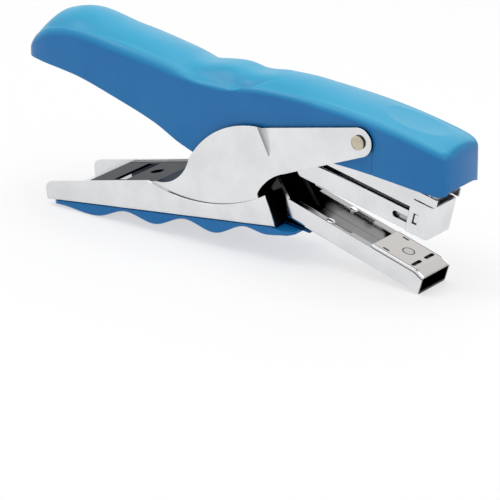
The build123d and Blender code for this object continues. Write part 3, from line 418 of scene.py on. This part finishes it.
def inside(tone, half_width, up=(0.0, 0.0, 1.0), level=FAR, rear=-FAR, front=FAR, soft=0.1, facing=-0.6):
    """A tone within limits in millimetres: the level is measured along up, rear and front along X."""
    return tone, {
        "Half Width": half_width * MM,
        "Up": up,
        "Level": level * MM,
        "Rear": rear * MM,
        "Front": front * MM,
        "Soft": soft * MM,
        "Facing": facing,
    }


# Upward directions of the tilted pieces, and heights along the arm's: its walls and its plate
MAGAZINE_UP, ARM_UP, HANDLE_UP = tilted_up(MAGAZINE_DROOP), tilted_up(ARM_DROOP), tilted_up(-HANDLE_RISE)
ARM_PIVOT_LEVEL = 41.73
ARM_TOP, PLATE_TOP = ARM_PIVOT_LEVEL - 12.3, ARM_PIVOT_LEVEL - 11.1

# Half widths between the walls of the folded pieces, and of the parts of the arm and its plate
CHEEK_INNER, HANDLE_INNER, CHANNEL_INNER, ARM_INNER = 13.0, 14.3, 6.6, 8.5
HOUSING_INNER, HOUSING_WALL = 7.3, 7.66
ARM_LIPS, ARM_WHOLE, BEAD_FOOT, BEAD_CROWN = 9.2, 20.0, 2.4, 1.2
PLATE_LINE, PLATE_SATIN, PLATE_POCKETS = 7.85, 7.5, 7.6

# How far a face looks up to count as a top
TOP_FACE = 0.8

# Painted shade along the crease of the cheek: start in X and Z, slope in degrees, length and width
CHEEK_CREASE_SHADE = ((14.6, 49.9), 62.0, 11.5, 4.6)

# Pieces with a finish of their own, and painted shade: folded sheets are painted darker inside as painted
# shade
FINISHES_AND_PAINTED_SHADE = {
    "cheek_bracket": chrome_plate(
        "chrome cheek",
        # Painted shade: the cheek's inner faces and web are painted near black, for the dark they mirror
        inside(CHEEK_INNER_SHADE_TONE, CHEEK_INNER),
        inside(SHADE_TONE, CHEEK_INNER, rear=-10.0, soft=4.0),
        crease=CHEEK_CREASE_SHADE,
        grazing=0.5,
    ),
    "lower_grip": moulded_plastic("blue moulded grip", lit_top_tone=BLUE_SIDE, specular=0.30, smudge=30.0),
    "staple_channel": chrome_plate("chrome channel", inside(SHADE_TONE, CHANNEL_INNER)),
    "magazine_housing": chrome_plate(
        "chrome housing",
        inside(SHADE_TONE, HOUSING_INNER, front=74.0),
        inside(SHADE_TONE, HOUSING_WALL, rear=70.0, front=80.5),
        roughness=(0.16, 0.26),
    ),
    "lower_handle": chrome_plate(
        "chrome handle",
        inside(SHADE_TONE, HANDLE_INNER, HANDLE_UP, rear=-24.0, front=22.0, soft=1.0),
        # Painted reflection: the handle's tongue is tinted blue, as if it mirrored the blue grip
        inside(TONGUE_REFLECTION_TONE, HANDLE_INNER, HANDLE_UP, rear=21.0, soft=1.0),
    ),
    "anvil_arm": chrome_plate(
        "chrome arm",
        # Painted shade: the tops of the arm's lips are painted grey, for the shade inside the arm
        inside(LIP_SHADE_TONE, ARM_LIPS, ARM_UP, rear=22.0, facing=TOP_FACE),
        # Painted shade: the arm's floor is painted darker, for the dark underside of the magazine that it
        # mirrors; the bead's crown gets the floor's tone back
        inside(ARM_FLOOR_SHADE_TONE, ARM_INNER, ARM_UP, ARM_TOP, front=66.0, soft=1.0),
        # Painted shade along both sides of the arm's bead
        inside(DARK_SHADE_TONE, BEAD_FOOT, ARM_UP, ARM_TOP, front=66.0, soft=1.0),
        inside(ARM_FLOOR_SHADE_TONE, BEAD_CROWN, ARM_UP, ARM_TOP, front=66.0, soft=1.0),
        inside(SHADE_TONE, ARM_INNER, ARM_UP, ARM_TOP, front=31.0, soft=3.5),
        # Painted shade: the arm's rear end and ears are painted near black, for the deep shade behind the
        # cheeks
        inside(EAR_SHADE_TONE, ARM_WHOLE, ARM_UP, front=24.5, soft=0.5),
        inside(SHADE_TONE, ARM_INNER, ARM_UP, ARM_TOP, rear=54.8, soft=0.6),
    ),
    "anvil_plate": chrome_plate(
        "satin plate",
        # Painted shade: a dark line along the plate's edges, for the gaps beside them
        inside(DARK_SHADE_TONE, PLATE_LINE, ARM_UP, rear=60.6, front=79.0, soft=0.6, facing=TOP_FACE),
        inside(SATIN_TONE, PLATE_SATIN),
        # Painted shade in the plate's pockets, below its top
        inside(POCKET_SHADE_TONE, PLATE_POCKETS, ARM_UP, PLATE_TOP, front=77.8),
    ),
    "anvil_rivet": chrome_plate(
        "satin rivet",
        # Painted shade on the rivet below the plate's top
        inside(POCKET_SHADE_TONE, PLATE_POCKETS, ARM_UP, PLATE_TOP),
        tone=SATIN_TONE, dull=SATIN_DULL,
    ),
    # Painted shade: the return spring is painted near black, for the shade in the throat where it lies
    "return_spring": finish_material(
        "spring steel in painted shade", SHADED_WIRE_TONE, SHADE_TONE,
        metallic=0.0, roughness=(0.55, 0.70), grain=WIRE_GRAIN, bump=0.08, specular=0.15,
    ),
}

for part in frame["record"]["subparts"]:
    shape = frame["nodes"][part["node"]]
    shape.data.materials.clear()
    shape.data.materials.append(FINISHES_AND_PAINTED_SHADE.get(part["node"]) or MATERIALS[part["material_slot"]])


# Stations of the moulded cover in millimetres: x, half width, lower edge, shoulder, crown, ridge radius
COVER_STATIONS = (
    (-92.0, 5.6, 54.7, 55.7, 56.5, 0.7),
    (-91.2, 8.0, 54.8, 57.4, 59.2, 1.6),
    (-89.4, 10.0, 54.9, 60.0, 62.9, 2.8),
    (-86.0, 11.5, 54.8, 62.8, 67.3, 4.4),
    (-79.0, 12.6, 54.2, 66.0, 72.6, 5.2),
    (-68.0, 12.9, 52.8, 67.6, 74.8, 5.4),
    (-50.0, 12.9, 48.0, 66.4, 71.4, 5.4),
    (-31.0, 12.4, 41.4, 63.6, 68.1, 5.0),
    (-20.0, 12.1, 35.8, 61.8, 65.7, 4.6),
    (-11.0, 11.9, 32.8, 60.6, 64.8, 4.0),
    (-3.0, 11.9, 32.2, 60.1, 64.8, 3.6),
    (4.0, 11.9, 33.1, 60.9, 65.4, 3.4),
    (10.0, 11.9, 34.8, 61.8, 66.0, 3.2),
    (16.0, 11.9, 36.5, 62.3, 66.5, 3.2),
    (26.0, 11.9, 39.2, 62.4, 66.7, 3.2),
    (44.0, 11.9, 42.2, 61.8, 64.7, 3.2),
    (55.0, 11.9, 41.8, 60.9, 63.4, 3.3),
    (65.0, 11.9, 41.0, 59.6, 61.9, 3.3),
    (74.0, 11.9, 40.1, 58.0, 60.3, 3.3),
    (83.0, 11.9, 39.2, 56.1, 58.4, 3.3),
    (88.8, 11.5, 38.8, 54.5, 56.8, 3.2),
    (91.3, 10.2, 39.2, 53.1, 55.4, 2.9),
    (92.0, 8.4, 40.4, 51.6, 53.6, 2.5),
)
COVER_WALL = 1.45
COVER_HALF_LENGTH, LEAST_RIDGE = COVER_STATIONS[-1][0], 0.8

# Rows along the cover, and points up a side, round a ridge and over half the top
OUTER_STEPS, OUTER_COUNTS = 420, (8, 10, 30)
INNER_STEPS, INNER_COUNTS = 120, (4, 4, 8)

# Pusher spring, in millimetres along the magazine
SPRING_START, SPRING_LENGTH, SPRING_HEIGHT = 23.4, 38.6, 6.6
SPRING_RADIUS, SPRING_WIRE_RADIUS, SPRING_TURNS = 2.05, 0.275, 13.0

# Rivet of the lower lever, in millimetres
RIVET_PLACE = (57.5, 0.0, 52.6)
RIVET_SEAT, RIVET_SHANK_RADIUS = 13.5, 2.0
RIVET_HEAD_RADIUS, RIVET_FOOT, RIVET_DOME = 2.6, 0.50, 0.80

# Domes on the arm's lips: place along the arm from the rear pin, height above it, and half sizes
DOME_ALONG, DOME_SIDE, DOME_LEVEL = 38.6, 7.1, -12.1
DOME_SIZE = (1.5, 1.5, 0.75)

# Thumb rest, dish, ridges and parting line of the cover
REST_X, REST_LONG, REST_HALF, REST_SQUARE = -3.0, 22.5, 11.9, 2.4
REST_FLOOR, REST_RISE, REST_PEAK_X = 64.6, 1.9, -2.0
REST_BEHIND, REST_AHEAD = 11.0, 8.0
REST_CLIMB, REST_CLIMB_START, REST_CLIMB_END = 1.9, 3.0, 18.0
REST_BOW, REST_BOW_AT, REST_BOW_POWER = 1.0, 6.0, 3.2
REST_WALL_BEHIND, REST_WALL_AHEAD, REST_WALL_TURN = 0.60, 0.14, 0.5
REST_TAIL, REST_BODY = -26.0, -10.0
DISH_X, DISH_LONG, DISH_WIDE, DISH_DEPTH = 73.0, 13.0, 6.6, 1.15
RIDGE_DIP, RIDGE_TURN, RIDGE_FADE, RIDGE_FULL, RIDGE_CROWD = 0.45, 0.9, 3.0, 4.0, 1.3
PARTING_X, PARTING_HALF, PARTING_TOP, PARTING_DEPTH = 62.4, 0.26, 52.6, 0.3


def placed(name, data):
    """A new object with this mesh, smooth up to its sharp edges."""
    data.name = name
    data.set_sharp_from_angle(angle=SHARP_ANGLE)
    piece = bpy.data.objects.new(name, data)
    bpy.context.collection.objects.link(piece)
    return piece


def forward(up):
    """The direction to the nose along a piece with this upward direction."""
    return Vector((up[2], 0.0, -up[0]))


def from_rear_pin(up, along, height):
    """A point at a distance along a tilted piece and a height above the rear pin, both in millimetres."""
    return REAR_PIVOT + (forward(up) * along + Vector(up) * height) * MM


def smooth_step(low, high, value):
    """A soft rise from 0 at low to 1 at high."""
    share = min(max((value - low) / (high - low), 0.0), 1.0)
    return share * share * (3.0 - 2.0 * share)


def eased(knots, rows, at):
    """Values between rows that never swing past their neighbours."""
    last = len(knots) - 2
    i = max(k for k in range(last + 1) if knots[k] <= at or k == 0)
    span = knots[i + 1] - knots[i]
    t = (at - knots[i]) / span

    def rise(k, column):
        return (rows[k + 1][column] - rows[k][column]) / (knots[k + 1] - knots[k])

    def lean(k, column):
        if k == 0 or k == last + 1:
            return rise(min(k, last), column)
        before, after = rise(k - 1, column), rise(k, column)
        return 2.0 * before * after / (before + after) if before * after > 0 else 0.0

    values = []
    for column, (a, b) in enumerate(zip(rows[i], rows[i + 1])):
        values.append(
            a * (1 + 2 * t) * (1 - t) ** 2 + lean(i, column) * span * t * (1 - t) ** 2
            + b * t * t * (3 - 2 * t) + lean(i + 1, column) * span * t * t * (t - 1)
        )
    return values


def cover_top(x, y, z):
    """Sinks the tongue-shaped thumb rest into the top, with a crisp rim in front, and the shallow dish."""
    ahead, aside = max(x - REST_X, 0.0) / REST_LONG, abs(y) / REST_HALF
    reach = (ahead ** REST_SQUARE + aside ** REST_SQUARE) ** (1 / REST_SQUARE)
    wall = REST_WALL_BEHIND + (REST_WALL_AHEAD - REST_WALL_BEHIND) * smooth_step(0.0, REST_WALL_TURN, ahead)
    down = min(max(1.0 - reach, 0.0) / wall, 1.0)
    sunk = down * (2.0 - down) * smooth_step(REST_TAIL, REST_BODY, x)
    from_peak = x - REST_PEAK_X
    spread = REST_AHEAD if from_peak > 0 else REST_BEHIND
    rest = REST_FLOOR + REST_RISE * math.exp(-((from_peak / spread) ** 2))
    rest += REST_CLIMB * smooth_step(REST_CLIMB_START, REST_CLIMB_END, x)
    rest -= REST_BOW * (abs(y) / REST_BOW_AT) ** REST_BOW_POWER
    z += (rest - z) * sunk
    reach = ((x - DISH_X) / DISH_LONG) ** 2 + (y / DISH_WIDE) ** 2
    return z - DISH_DEPTH * max(1.0 - reach, 0.0)


def half_section(half, bottom, shoulder, crown, ridge, counts):
    """Points of one half of a section, from the lower edge up the side and over to the middle."""
    rise = crown - shoulder
    ball = (half * half + rise * rise) / (2 * rise)
    centre = crown - ball
    fold = centre + math.sqrt((ball - ridge) ** 2 - (half - ridge) ** 2)
    turn = math.atan2(half - ridge, fold - centre)
    sides, bends, tops = counts
    points = [(half, bottom + (fold - bottom) * i / sides) for i in range(sides)]
    for i in range(bends):
        angle = math.pi / 2 - (math.pi / 2 - turn) * i / bends
        points.append((half - ridge + ridge * math.sin(angle), fold + ridge * math.cos(angle)))
    for i in range(tops + 1):
        angle = turn * (1 - (i / tops) ** RIDGE_CROWD)
        from_ridge = ball * (math.sin(turn) - math.sin(angle))
        dip = RIDGE_DIP * (1 - math.exp(-from_ridge / RIDGE_TURN)) * math.exp(-from_ridge / RIDGE_FADE)
        points.append((ball * math.sin(angle), centre + ball * math.cos(angle) - dip * ridge / RIDGE_FULL))
    return points


def cover_rows(inset, steps, counts):
    """Rows of points along the cover, each over its whole section from side to side."""
    stations = COVER_STATIONS[1:-1] if inset else COVER_STATIONS
    knots = [0.0]
    for a, b in zip(stations, stations[1:]):
        knots.append(knots[-1] + math.sqrt(math.dist((a[0], a[1], a[4]), (b[0], b[1], b[4]))))
    marks = sorted([knots[-1] * i / steps for i in range(steps + 1)] + knots[1:-1])
    rows = []
    for mark in marks:
        x, half, bottom, shoulder, crown, ridge = eased(knots, stations, mark)
        ends = half_section(
            half - inset, bottom, shoulder - inset, crown - inset, max(ridge - inset, LEAST_RIDGE), counts,
        )
        x *= 1 - inset / COVER_HALF_LENGTH
        groove = abs(x - PARTING_X) < PARTING_HALF and not inset
        row = []
        for i, (y, z) in enumerate(ends):
            if i > counts[0]:
                z = cover_top(x, y, z + inset) - inset
            elif groove and z < PARTING_TOP:
                y -= PARTING_DEPTH
            row.append((x, y, z))
        rows.append(row + [(x, -y, z) for x, y, z in reversed(row[:-1])])
    return rows


def moulded_cover():
    """The blue cover as one closed shell, open below."""
    outer = cover_rows(0.0, OUTER_STEPS, OUTER_COUNTS)
    inner = cover_rows(COVER_WALL, INNER_STEPS, INNER_COUNTS)
    mesh = bmesh.new()

    def skin(rows, flip):
        grid = [[mesh.verts.new(Vector(spot) * MM) for spot in row] for row in rows]
        for a, b in zip(grid, grid[1:]):
            for i in range(len(a) - 1):
                corners = (a[i], a[i + 1], b[i + 1], b[i])
                mesh.faces.new(corners[::-1] if flip else corners)
        for end, turned in ((grid[0], flip), (grid[-1], not flip)):
            mesh.faces.new(end if turned else end[::-1])
        low = [row[0] for row in grid] + [row[-1] for row in reversed(grid)]
        return [mesh.edges.get((a, b)) or mesh.edges.new((a, b)) for a, b in zip(low, low[1:] + low[:1])]

    rim = skin(outer, True) + skin(inner, False)
    bmesh.ops.triangle_fill(mesh, use_beauty=True, use_dissolve=False, edges=rim)
    bmesh.ops.recalc_face_normals(mesh, faces=mesh.faces)
    for face in mesh.faces:
        face.smooth = True
    data = bpy.data.meshes.new("moulded_cover")
    mesh.to_mesh(data)
    mesh.free()
    cover = placed("moulded_cover", data)
    data.materials.append(MATERIALS["blue_plastic"])
    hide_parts("upper_cover")
    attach(cover, "upper_lever")


def node_tree(name, sizes):
    """A geometry tree with named inputs: the tree, its inputs and its geometry output."""
    tree = bpy.data.node_groups.new(name, "GeometryNodeTree")
    for label, kind in sizes:
        tree.interface.new_socket(label, in_out="INPUT", socket_type=kind)
    tree.interface.new_socket("Geometry", in_out="OUTPUT", socket_type="NodeSocketGeometry")
    given, out = tree.nodes.new("NodeGroupInput"), tree.nodes.new("NodeGroupOutput")
    return tree, given.outputs, out.inputs["Geometry"]


def finished(name, tree, values):
    """A plain mesh object from a geometry tree with these inputs."""
    carrier = bpy.data.objects.new(name + "_tree", bpy.data.meshes.new(name + "_tree"))
    bpy.context.collection.objects.link(carrier)
    modifier = carrier.modifiers.new("tree", "NODES")
    modifier.node_group = tree
    for item in tree.interface.items_tree:
        if item.in_out == "INPUT":
            modifier[item.identifier] = values[item.name]
    shape = carrier.evaluated_get(bpy.context.evaluated_depsgraph_get())
    data = bpy.data.meshes.new_from_object(shape)
    bpy.data.objects.remove(carrier)
    return placed(name, data)


def spring_tree():
    """A coil of round wire that starts at a place and runs along X, tilted down in front."""
    tree, size, out = node_tree("wound spring", [
        ("Coil Radius", "NodeSocketFloat"),
        ("Wire Radius", "NodeSocketFloat"),
        ("Turns", "NodeSocketFloat"),
        ("Length", "NodeSocketFloat"),
        ("Start", "NodeSocketVector"),
        ("Turn", "NodeSocketVector"),
        ("Finish", "NodeSocketMaterial"),
    ])
    coil = add_node(
        tree, "GeometryNodeCurveSpiral", Resolution=40, Rotations=size["Turns"],
        Start_Radius=size["Coil Radius"], End_Radius=size["Coil Radius"], Height=size["Length"],
    )
    wire = add_node(tree, "GeometryNodeCurvePrimitiveCircle", Resolution=12, Radius=size["Wire Radius"])
    tube = add_node(
        tree, "GeometryNodeCurveToMesh", Curve=coil.outputs["Curve"], Profile_Curve=wire.outputs["Curve"],
        Fill_Caps=True,
    )
    laid = add_node(
        tree, "GeometryNodeTransform", Geometry=tube.outputs["Mesh"], Translation=size["Start"],
        Rotation=size["Turn"],
    )
    smooth = add_node(tree, "GeometryNodeSetShadeSmooth", Geometry=laid.outputs["Geometry"])
    real = add_node(tree, "GeometryNodeRealizeInstances", Geometry=smooth.outputs["Geometry"])
    last = add_node(
        tree, "GeometryNodeSetMaterial", Geometry=real.outputs["Geometry"], Material=size["Finish"],
    )
    fill(tree, out, last.outputs["Geometry"])
    return tree


def rivet_tree():
    """A rivet across the object with the same domed head at both ends, and a foot under each dome painted
    dark as painted shade.
    """
    tree, size, out = node_tree("domed rivet", [
        ("Head Radius", "NodeSocketFloat"),
        ("Foot Height", "NodeSocketFloat"),
        ("Dome Height", "NodeSocketFloat"),
        ("Shank Radius", "NodeSocketFloat"),
        ("Seat", "NodeSocketFloat"),
        ("Place", "NodeSocketVector"),
        ("Finish", "NodeSocketMaterial"),
        ("Foot Shade", "NodeSocketMaterial"),
    ])
    head = add_node(
        tree, "GeometryNodeMeshCylinder", {"fill_type": "TRIANGLE_FAN"}, Vertices=64, Side_Segments=2,
        Fill_Segments=10, Radius=size["Head Radius"], Depth=size["Foot Height"],
    )
    place = add_node(tree, "GeometryNodeInputPosition").outputs["Position"]
    spot = add_node(tree, "ShaderNodeSeparateXYZ", Vector=place).outputs
    away = number(tree, "ADD", number(tree, "POWER", spot["X"], 2.0), number(tree, "POWER", spot["Y"], 2.0))
    share = number(tree, "DIVIDE", away, number(tree, "POWER", size["Head Radius"], 2.0))
    rise = number(tree, "MULTIPLY", size["Dome Height"], number(tree, "SUBTRACT", 1.0, share))
    up = add_node(tree, "ShaderNodeCombineXYZ", Z=rise)
    domed = add_node(
        tree, "GeometryNodeSetPosition", Geometry=head.outputs["Mesh"], Selection=head.outputs["Top"],
        Offset=up.outputs["Vector"],
    )
    foot = add_node(
        tree, "GeometryNodeStoreNamedAttribute", {"data_type": "BOOLEAN", "domain": "FACE"},
        Geometry=domed.outputs["Geometry"], Name="foot", Value=head.outputs["Side"],
    )
    middle = number(tree, "ADD", size["Seat"], number(tree, "DIVIDE", size["Foot Height"], 2.0))
    lift = add_node(tree, "ShaderNodeCombineXYZ", Z=middle)
    seated = add_node(
        tree, "GeometryNodeTransform", Geometry=foot.outputs["Geometry"], Translation=lift.outputs["Vector"],
    )
    ends = add_node(tree, "GeometryNodePoints", Count=2)
    order = add_node(tree, "GeometryNodeInputIndex").outputs["Index"]
    flip = add_node(tree, "ShaderNodeCombineXYZ", X=number(tree, "MULTIPLY", order, math.pi))
    heads = add_node(
        tree, "GeometryNodeInstanceOnPoints", Points=ends.outputs["Points"],
        Instance=seated.outputs["Geometry"], Rotation=flip.outputs["Vector"],
    )
    shank = add_node(
        tree, "GeometryNodeMeshCylinder", Vertices=48, Radius=size["Shank Radius"],
        Depth=number(tree, "MULTIPLY", size["Seat"], 2.0),
    )
    joined = add_node(tree, "GeometryNodeJoinGeometry")
    for piece in (heads.outputs["Instances"], shank.outputs["Mesh"]):
        fill(tree, joined.inputs["Geometry"], piece)
    laid = add_node(
        tree, "GeometryNodeTransform", Geometry=joined.outputs["Geometry"], Translation=size["Place"],
        Rotation=(math.pi / 2, 0.0, 0.0),
    )
    smooth = add_node(tree, "GeometryNodeSetShadeSmooth", Geometry=laid.outputs["Geometry"])
    real = add_node(tree, "GeometryNodeRealizeInstances", Geometry=smooth.outputs["Geometry"])
    plated = add_node(
        tree, "GeometryNodeSetMaterial", Geometry=real.outputs["Geometry"], Material=size["Finish"],
    )
    is_foot = add_node(tree, "GeometryNodeInputNamedAttribute", {"data_type": "BOOLEAN"}, Name="foot")
    last = add_node(
        tree, "GeometryNodeSetMaterial", Geometry=plated.outputs["Geometry"],
        Selection=is_foot.outputs["Attribute"], Material=size["Foot Shade"],
    )
    fill(tree, out, last.outputs["Geometry"])
    return tree


def wound_spring():
    """The pusher's spring, attached to the magazine."""
    start = from_rear_pin(MAGAZINE_UP, SPRING_START, SPRING_HEIGHT)
    spring = finished("wound_spring", spring_tree(), {
        "Coil Radius": SPRING_RADIUS * MM,
        "Wire Radius": SPRING_WIRE_RADIUS * MM,
        "Turns": SPRING_TURNS,
        "Length": SPRING_LENGTH * MM,
        "Start": start,
        "Turn": (0.0, math.radians(90.0 + MAGAZINE_DROOP), 0.0),
        "Finish": MATERIALS["copper_wire"],
    })
    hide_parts("pusher_spring")
    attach(spring, "magazine")
    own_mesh(spring)


def leaf_spring():
    """The leaf spring under the frame, attached to the magazine."""
    data = frame["nodes"]["magazine_spring"].data.copy()
    sheet = bmesh.new()
    sheet.from_mesh(data)
    bmesh.ops.remove_doubles(sheet, verts=sheet.verts, dist=MERGE_DISTANCE)
    sheet.to_mesh(data)
    sheet.free()
    data.shade_smooth()
    leaf = placed("leaf_spring", data)
    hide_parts("magazine_spring")
    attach(leaf, "magazine")
    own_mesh(leaf)


def dome_tree():
    """The same flat dome on both sides of the object."""
    tree, size, out = node_tree("pressed domes", [
        ("Size", "NodeSocketVector"),
        ("Place", "NodeSocketVector"),
        ("Turn", "NodeSocketVector"),
        ("Finish", "NodeSocketMaterial"),
    ])
    ball = add_node(tree, "GeometryNodeMeshUVSphere", Segments=40, Rings=20, Radius=1.0)
    flat = add_node(tree, "GeometryNodeTransform", Geometry=ball.outputs["Mesh"], Scale=size["Size"])
    smooth = add_node(tree, "GeometryNodeSetShadeSmooth", Geometry=flat.outputs["Geometry"])
    order = add_node(tree, "GeometryNodeInputIndex").outputs["Index"]
    side = number(tree, "MULTIPLY_ADD", order, 2.0, -1.0)
    mirrored = add_node(tree, "ShaderNodeCombineXYZ", X=1.0, Y=side, Z=1.0).outputs["Vector"]
    spots = vector(tree, "MULTIPLY", size["Place"], mirrored)
    sides = add_node(tree, "GeometryNodePoints", Count=2, Position=spots)
    domes = add_node(
        tree, "GeometryNodeInstanceOnPoints", Points=sides.outputs["Points"],
        Instance=smooth.outputs["Geometry"], Rotation=size["Turn"],
    )
    real = add_node(tree, "GeometryNodeRealizeInstances", Geometry=domes.outputs["Instances"])
    last = add_node(
        tree, "GeometryNodeSetMaterial", Geometry=real.outputs["Geometry"], Material=size["Finish"],
    )
    fill(tree, out, last.outputs["Geometry"])
    return tree


def lip_domes():
    """The domes pressed into the round ends of the arm's lips."""
    place = from_rear_pin(ARM_UP, DOME_ALONG, DOME_LEVEL)
    place.y = DOME_SIDE * MM
    domes = finished("lip_domes", dome_tree(), {
        "Size": Vector(DOME_SIZE) * MM,
        "Place": place,
        "Turn": (0.0, math.radians(ARM_DROOP), 0.0),
        "Finish": MATERIALS["chrome"],
    })
    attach(domes, "anvil")


def pivot_rivet():
    """The rivet that the lower lever turns on."""
    rivet = finished("pivot_rivet", rivet_tree(), {
        "Head Radius": RIVET_HEAD_RADIUS * MM,
        "Foot Height": RIVET_FOOT * MM,
        "Dome Height": RIVET_DOME * MM,
        "Shank Radius": RIVET_SHANK_RADIUS * MM,
        "Seat": RIVET_SEAT * MM,
        "Place": Vector(RIVET_PLACE) * MM,
        "Finish": MATERIALS["nickel"],
        # Painted shade: the foot of each head is painted dark, for the shadow in the gap round the head
        "Foot Shade": finish_material(
            "foot in painted shade", SHADE_TONE, DARK_SHADE_TONE,
            metallic=1.0, roughness=(0.30, 0.45), grain=NICKEL_GRAIN, bump=0.06,
        ),
    })
    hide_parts("front_pivot_rivet")
    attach(rivet, "upper_lever")


def background_rays(tree):
    """One for the rays that see the background: the camera's own, and those in metal or glass."""
    path = add_node(tree, "ShaderNodeLightPath").outputs
    seen = path["Is Camera Ray"]
    for kind in ("Is Glossy Ray", "Is Transmission Ray"):
        seen = number(tree, "MAXIMUM", seen, path[kind])
    return seen


def shader_mix(tree, share, first, second, end):
    """Mixes two shaders into the end node."""
    mix = add_node(tree, "ShaderNodeMixShader", Fac=share)
    fill(tree, mix.inputs[1], first)
    fill(tree, mix.inputs[2], second)
    fill(tree, tree.nodes[end].inputs["Surface"], mix.outputs["Shader"])


def pale_floor():
    """A plain floor that keeps the object's shadow and is near white where the camera or a mirror looks."""
    bpy.ops.mesh.primitive_plane_add(size=FLOOR_SIZE, location=(0.0, 0.0, 0.0))
    floor = bpy.context.object
    floor.name = "floor"
    material = bpy.data.materials.new("pale floor")
    material.use_nodes = True
    tree = material.node_tree
    shader = tree.nodes["Principled BSDF"]
    shader.inputs["Base Color"].default_value = (*FLOOR_TONE, 1.0)
    shader.inputs["Roughness"].default_value = FLOOR_ROUGHNESS
    shader.inputs["Specular IOR Level"].default_value = FLOOR_SPECULAR
    bright = add_node(tree, "ShaderNodeEmission")
    share = number(tree, "MULTIPLY", background_rays(tree), FLOOR_GLOW)
    shader_mix(tree, share, shader.outputs["BSDF"], bright.outputs["Emission"], "Material Output")
    floor.data.materials.append(material)


def studio_world():
    """White where the camera or a mirror looks, softer where it lights."""
    world = bpy.data.worlds.new("studio")
    bpy.context.scene.world = world
    world.use_nodes = True
    tree = world.node_tree
    light = tree.nodes["Background"]
    light.inputs["Color"].default_value = (*WHITE, 1.0)
    light.inputs["Strength"].default_value = WORLD_LIGHT
    shown = add_node(tree, "ShaderNodeBackground", Color=(*WHITE, 1.0), Strength=WORLD_SEEN)
    shader_mix(
        tree, background_rays(tree), light.outputs["Background"], shown.outputs["Background"], "World Output",
    )


def soft_light(name, place, target, size, power):
    """A lamp with a broad face, aimed at a point."""
    data = bpy.data.lights.new(name, "AREA")
    data.shape = "RECTANGLE"
    data.size, data.size_y = size
    data.energy = power
    lamp = bpy.data.objects.new(name, data)
    bpy.context.collection.objects.link(lamp)
    lamp.location = place
    lamp.rotation_euler = (Vector(target) - Vector(place)).to_track_quat("-Z", "Y").to_euler()


def photo_camera():
    """The camera at the photograph's angle and distance."""
    azimuth, elevation = math.radians(CAMERA_AZIMUTH), math.radians(CAMERA_ELEVATION)
    back = Vector((
        math.sin(azimuth) * math.cos(elevation),
        -math.cos(azimuth) * math.cos(elevation),
        math.sin(elevation),
    ))
    data = bpy.data.cameras.new("photo camera")
    data.lens = CAMERA_LENS
    data.clip_end = CAMERA_REACH
    camera = bpy.data.objects.new("photo camera", data)
    bpy.context.collection.objects.link(camera)
    camera.location = CAMERA_PIVOT + back * CAMERA_DISTANCE
    camera.rotation_euler = (CAMERA_TARGET - camera.location).to_track_quat("-Z", "Y").to_euler()
    bpy.context.scene.camera = camera


moulded_cover()
wound_spring()
leaf_spring()
lip_domes()
pivot_rivet()
pale_floor()
studio_world()
for lamp in LAMPS:
    soft_light(*lamp)
photo_camera()
bpy.context.scene.view_settings.view_transform = "Standard"
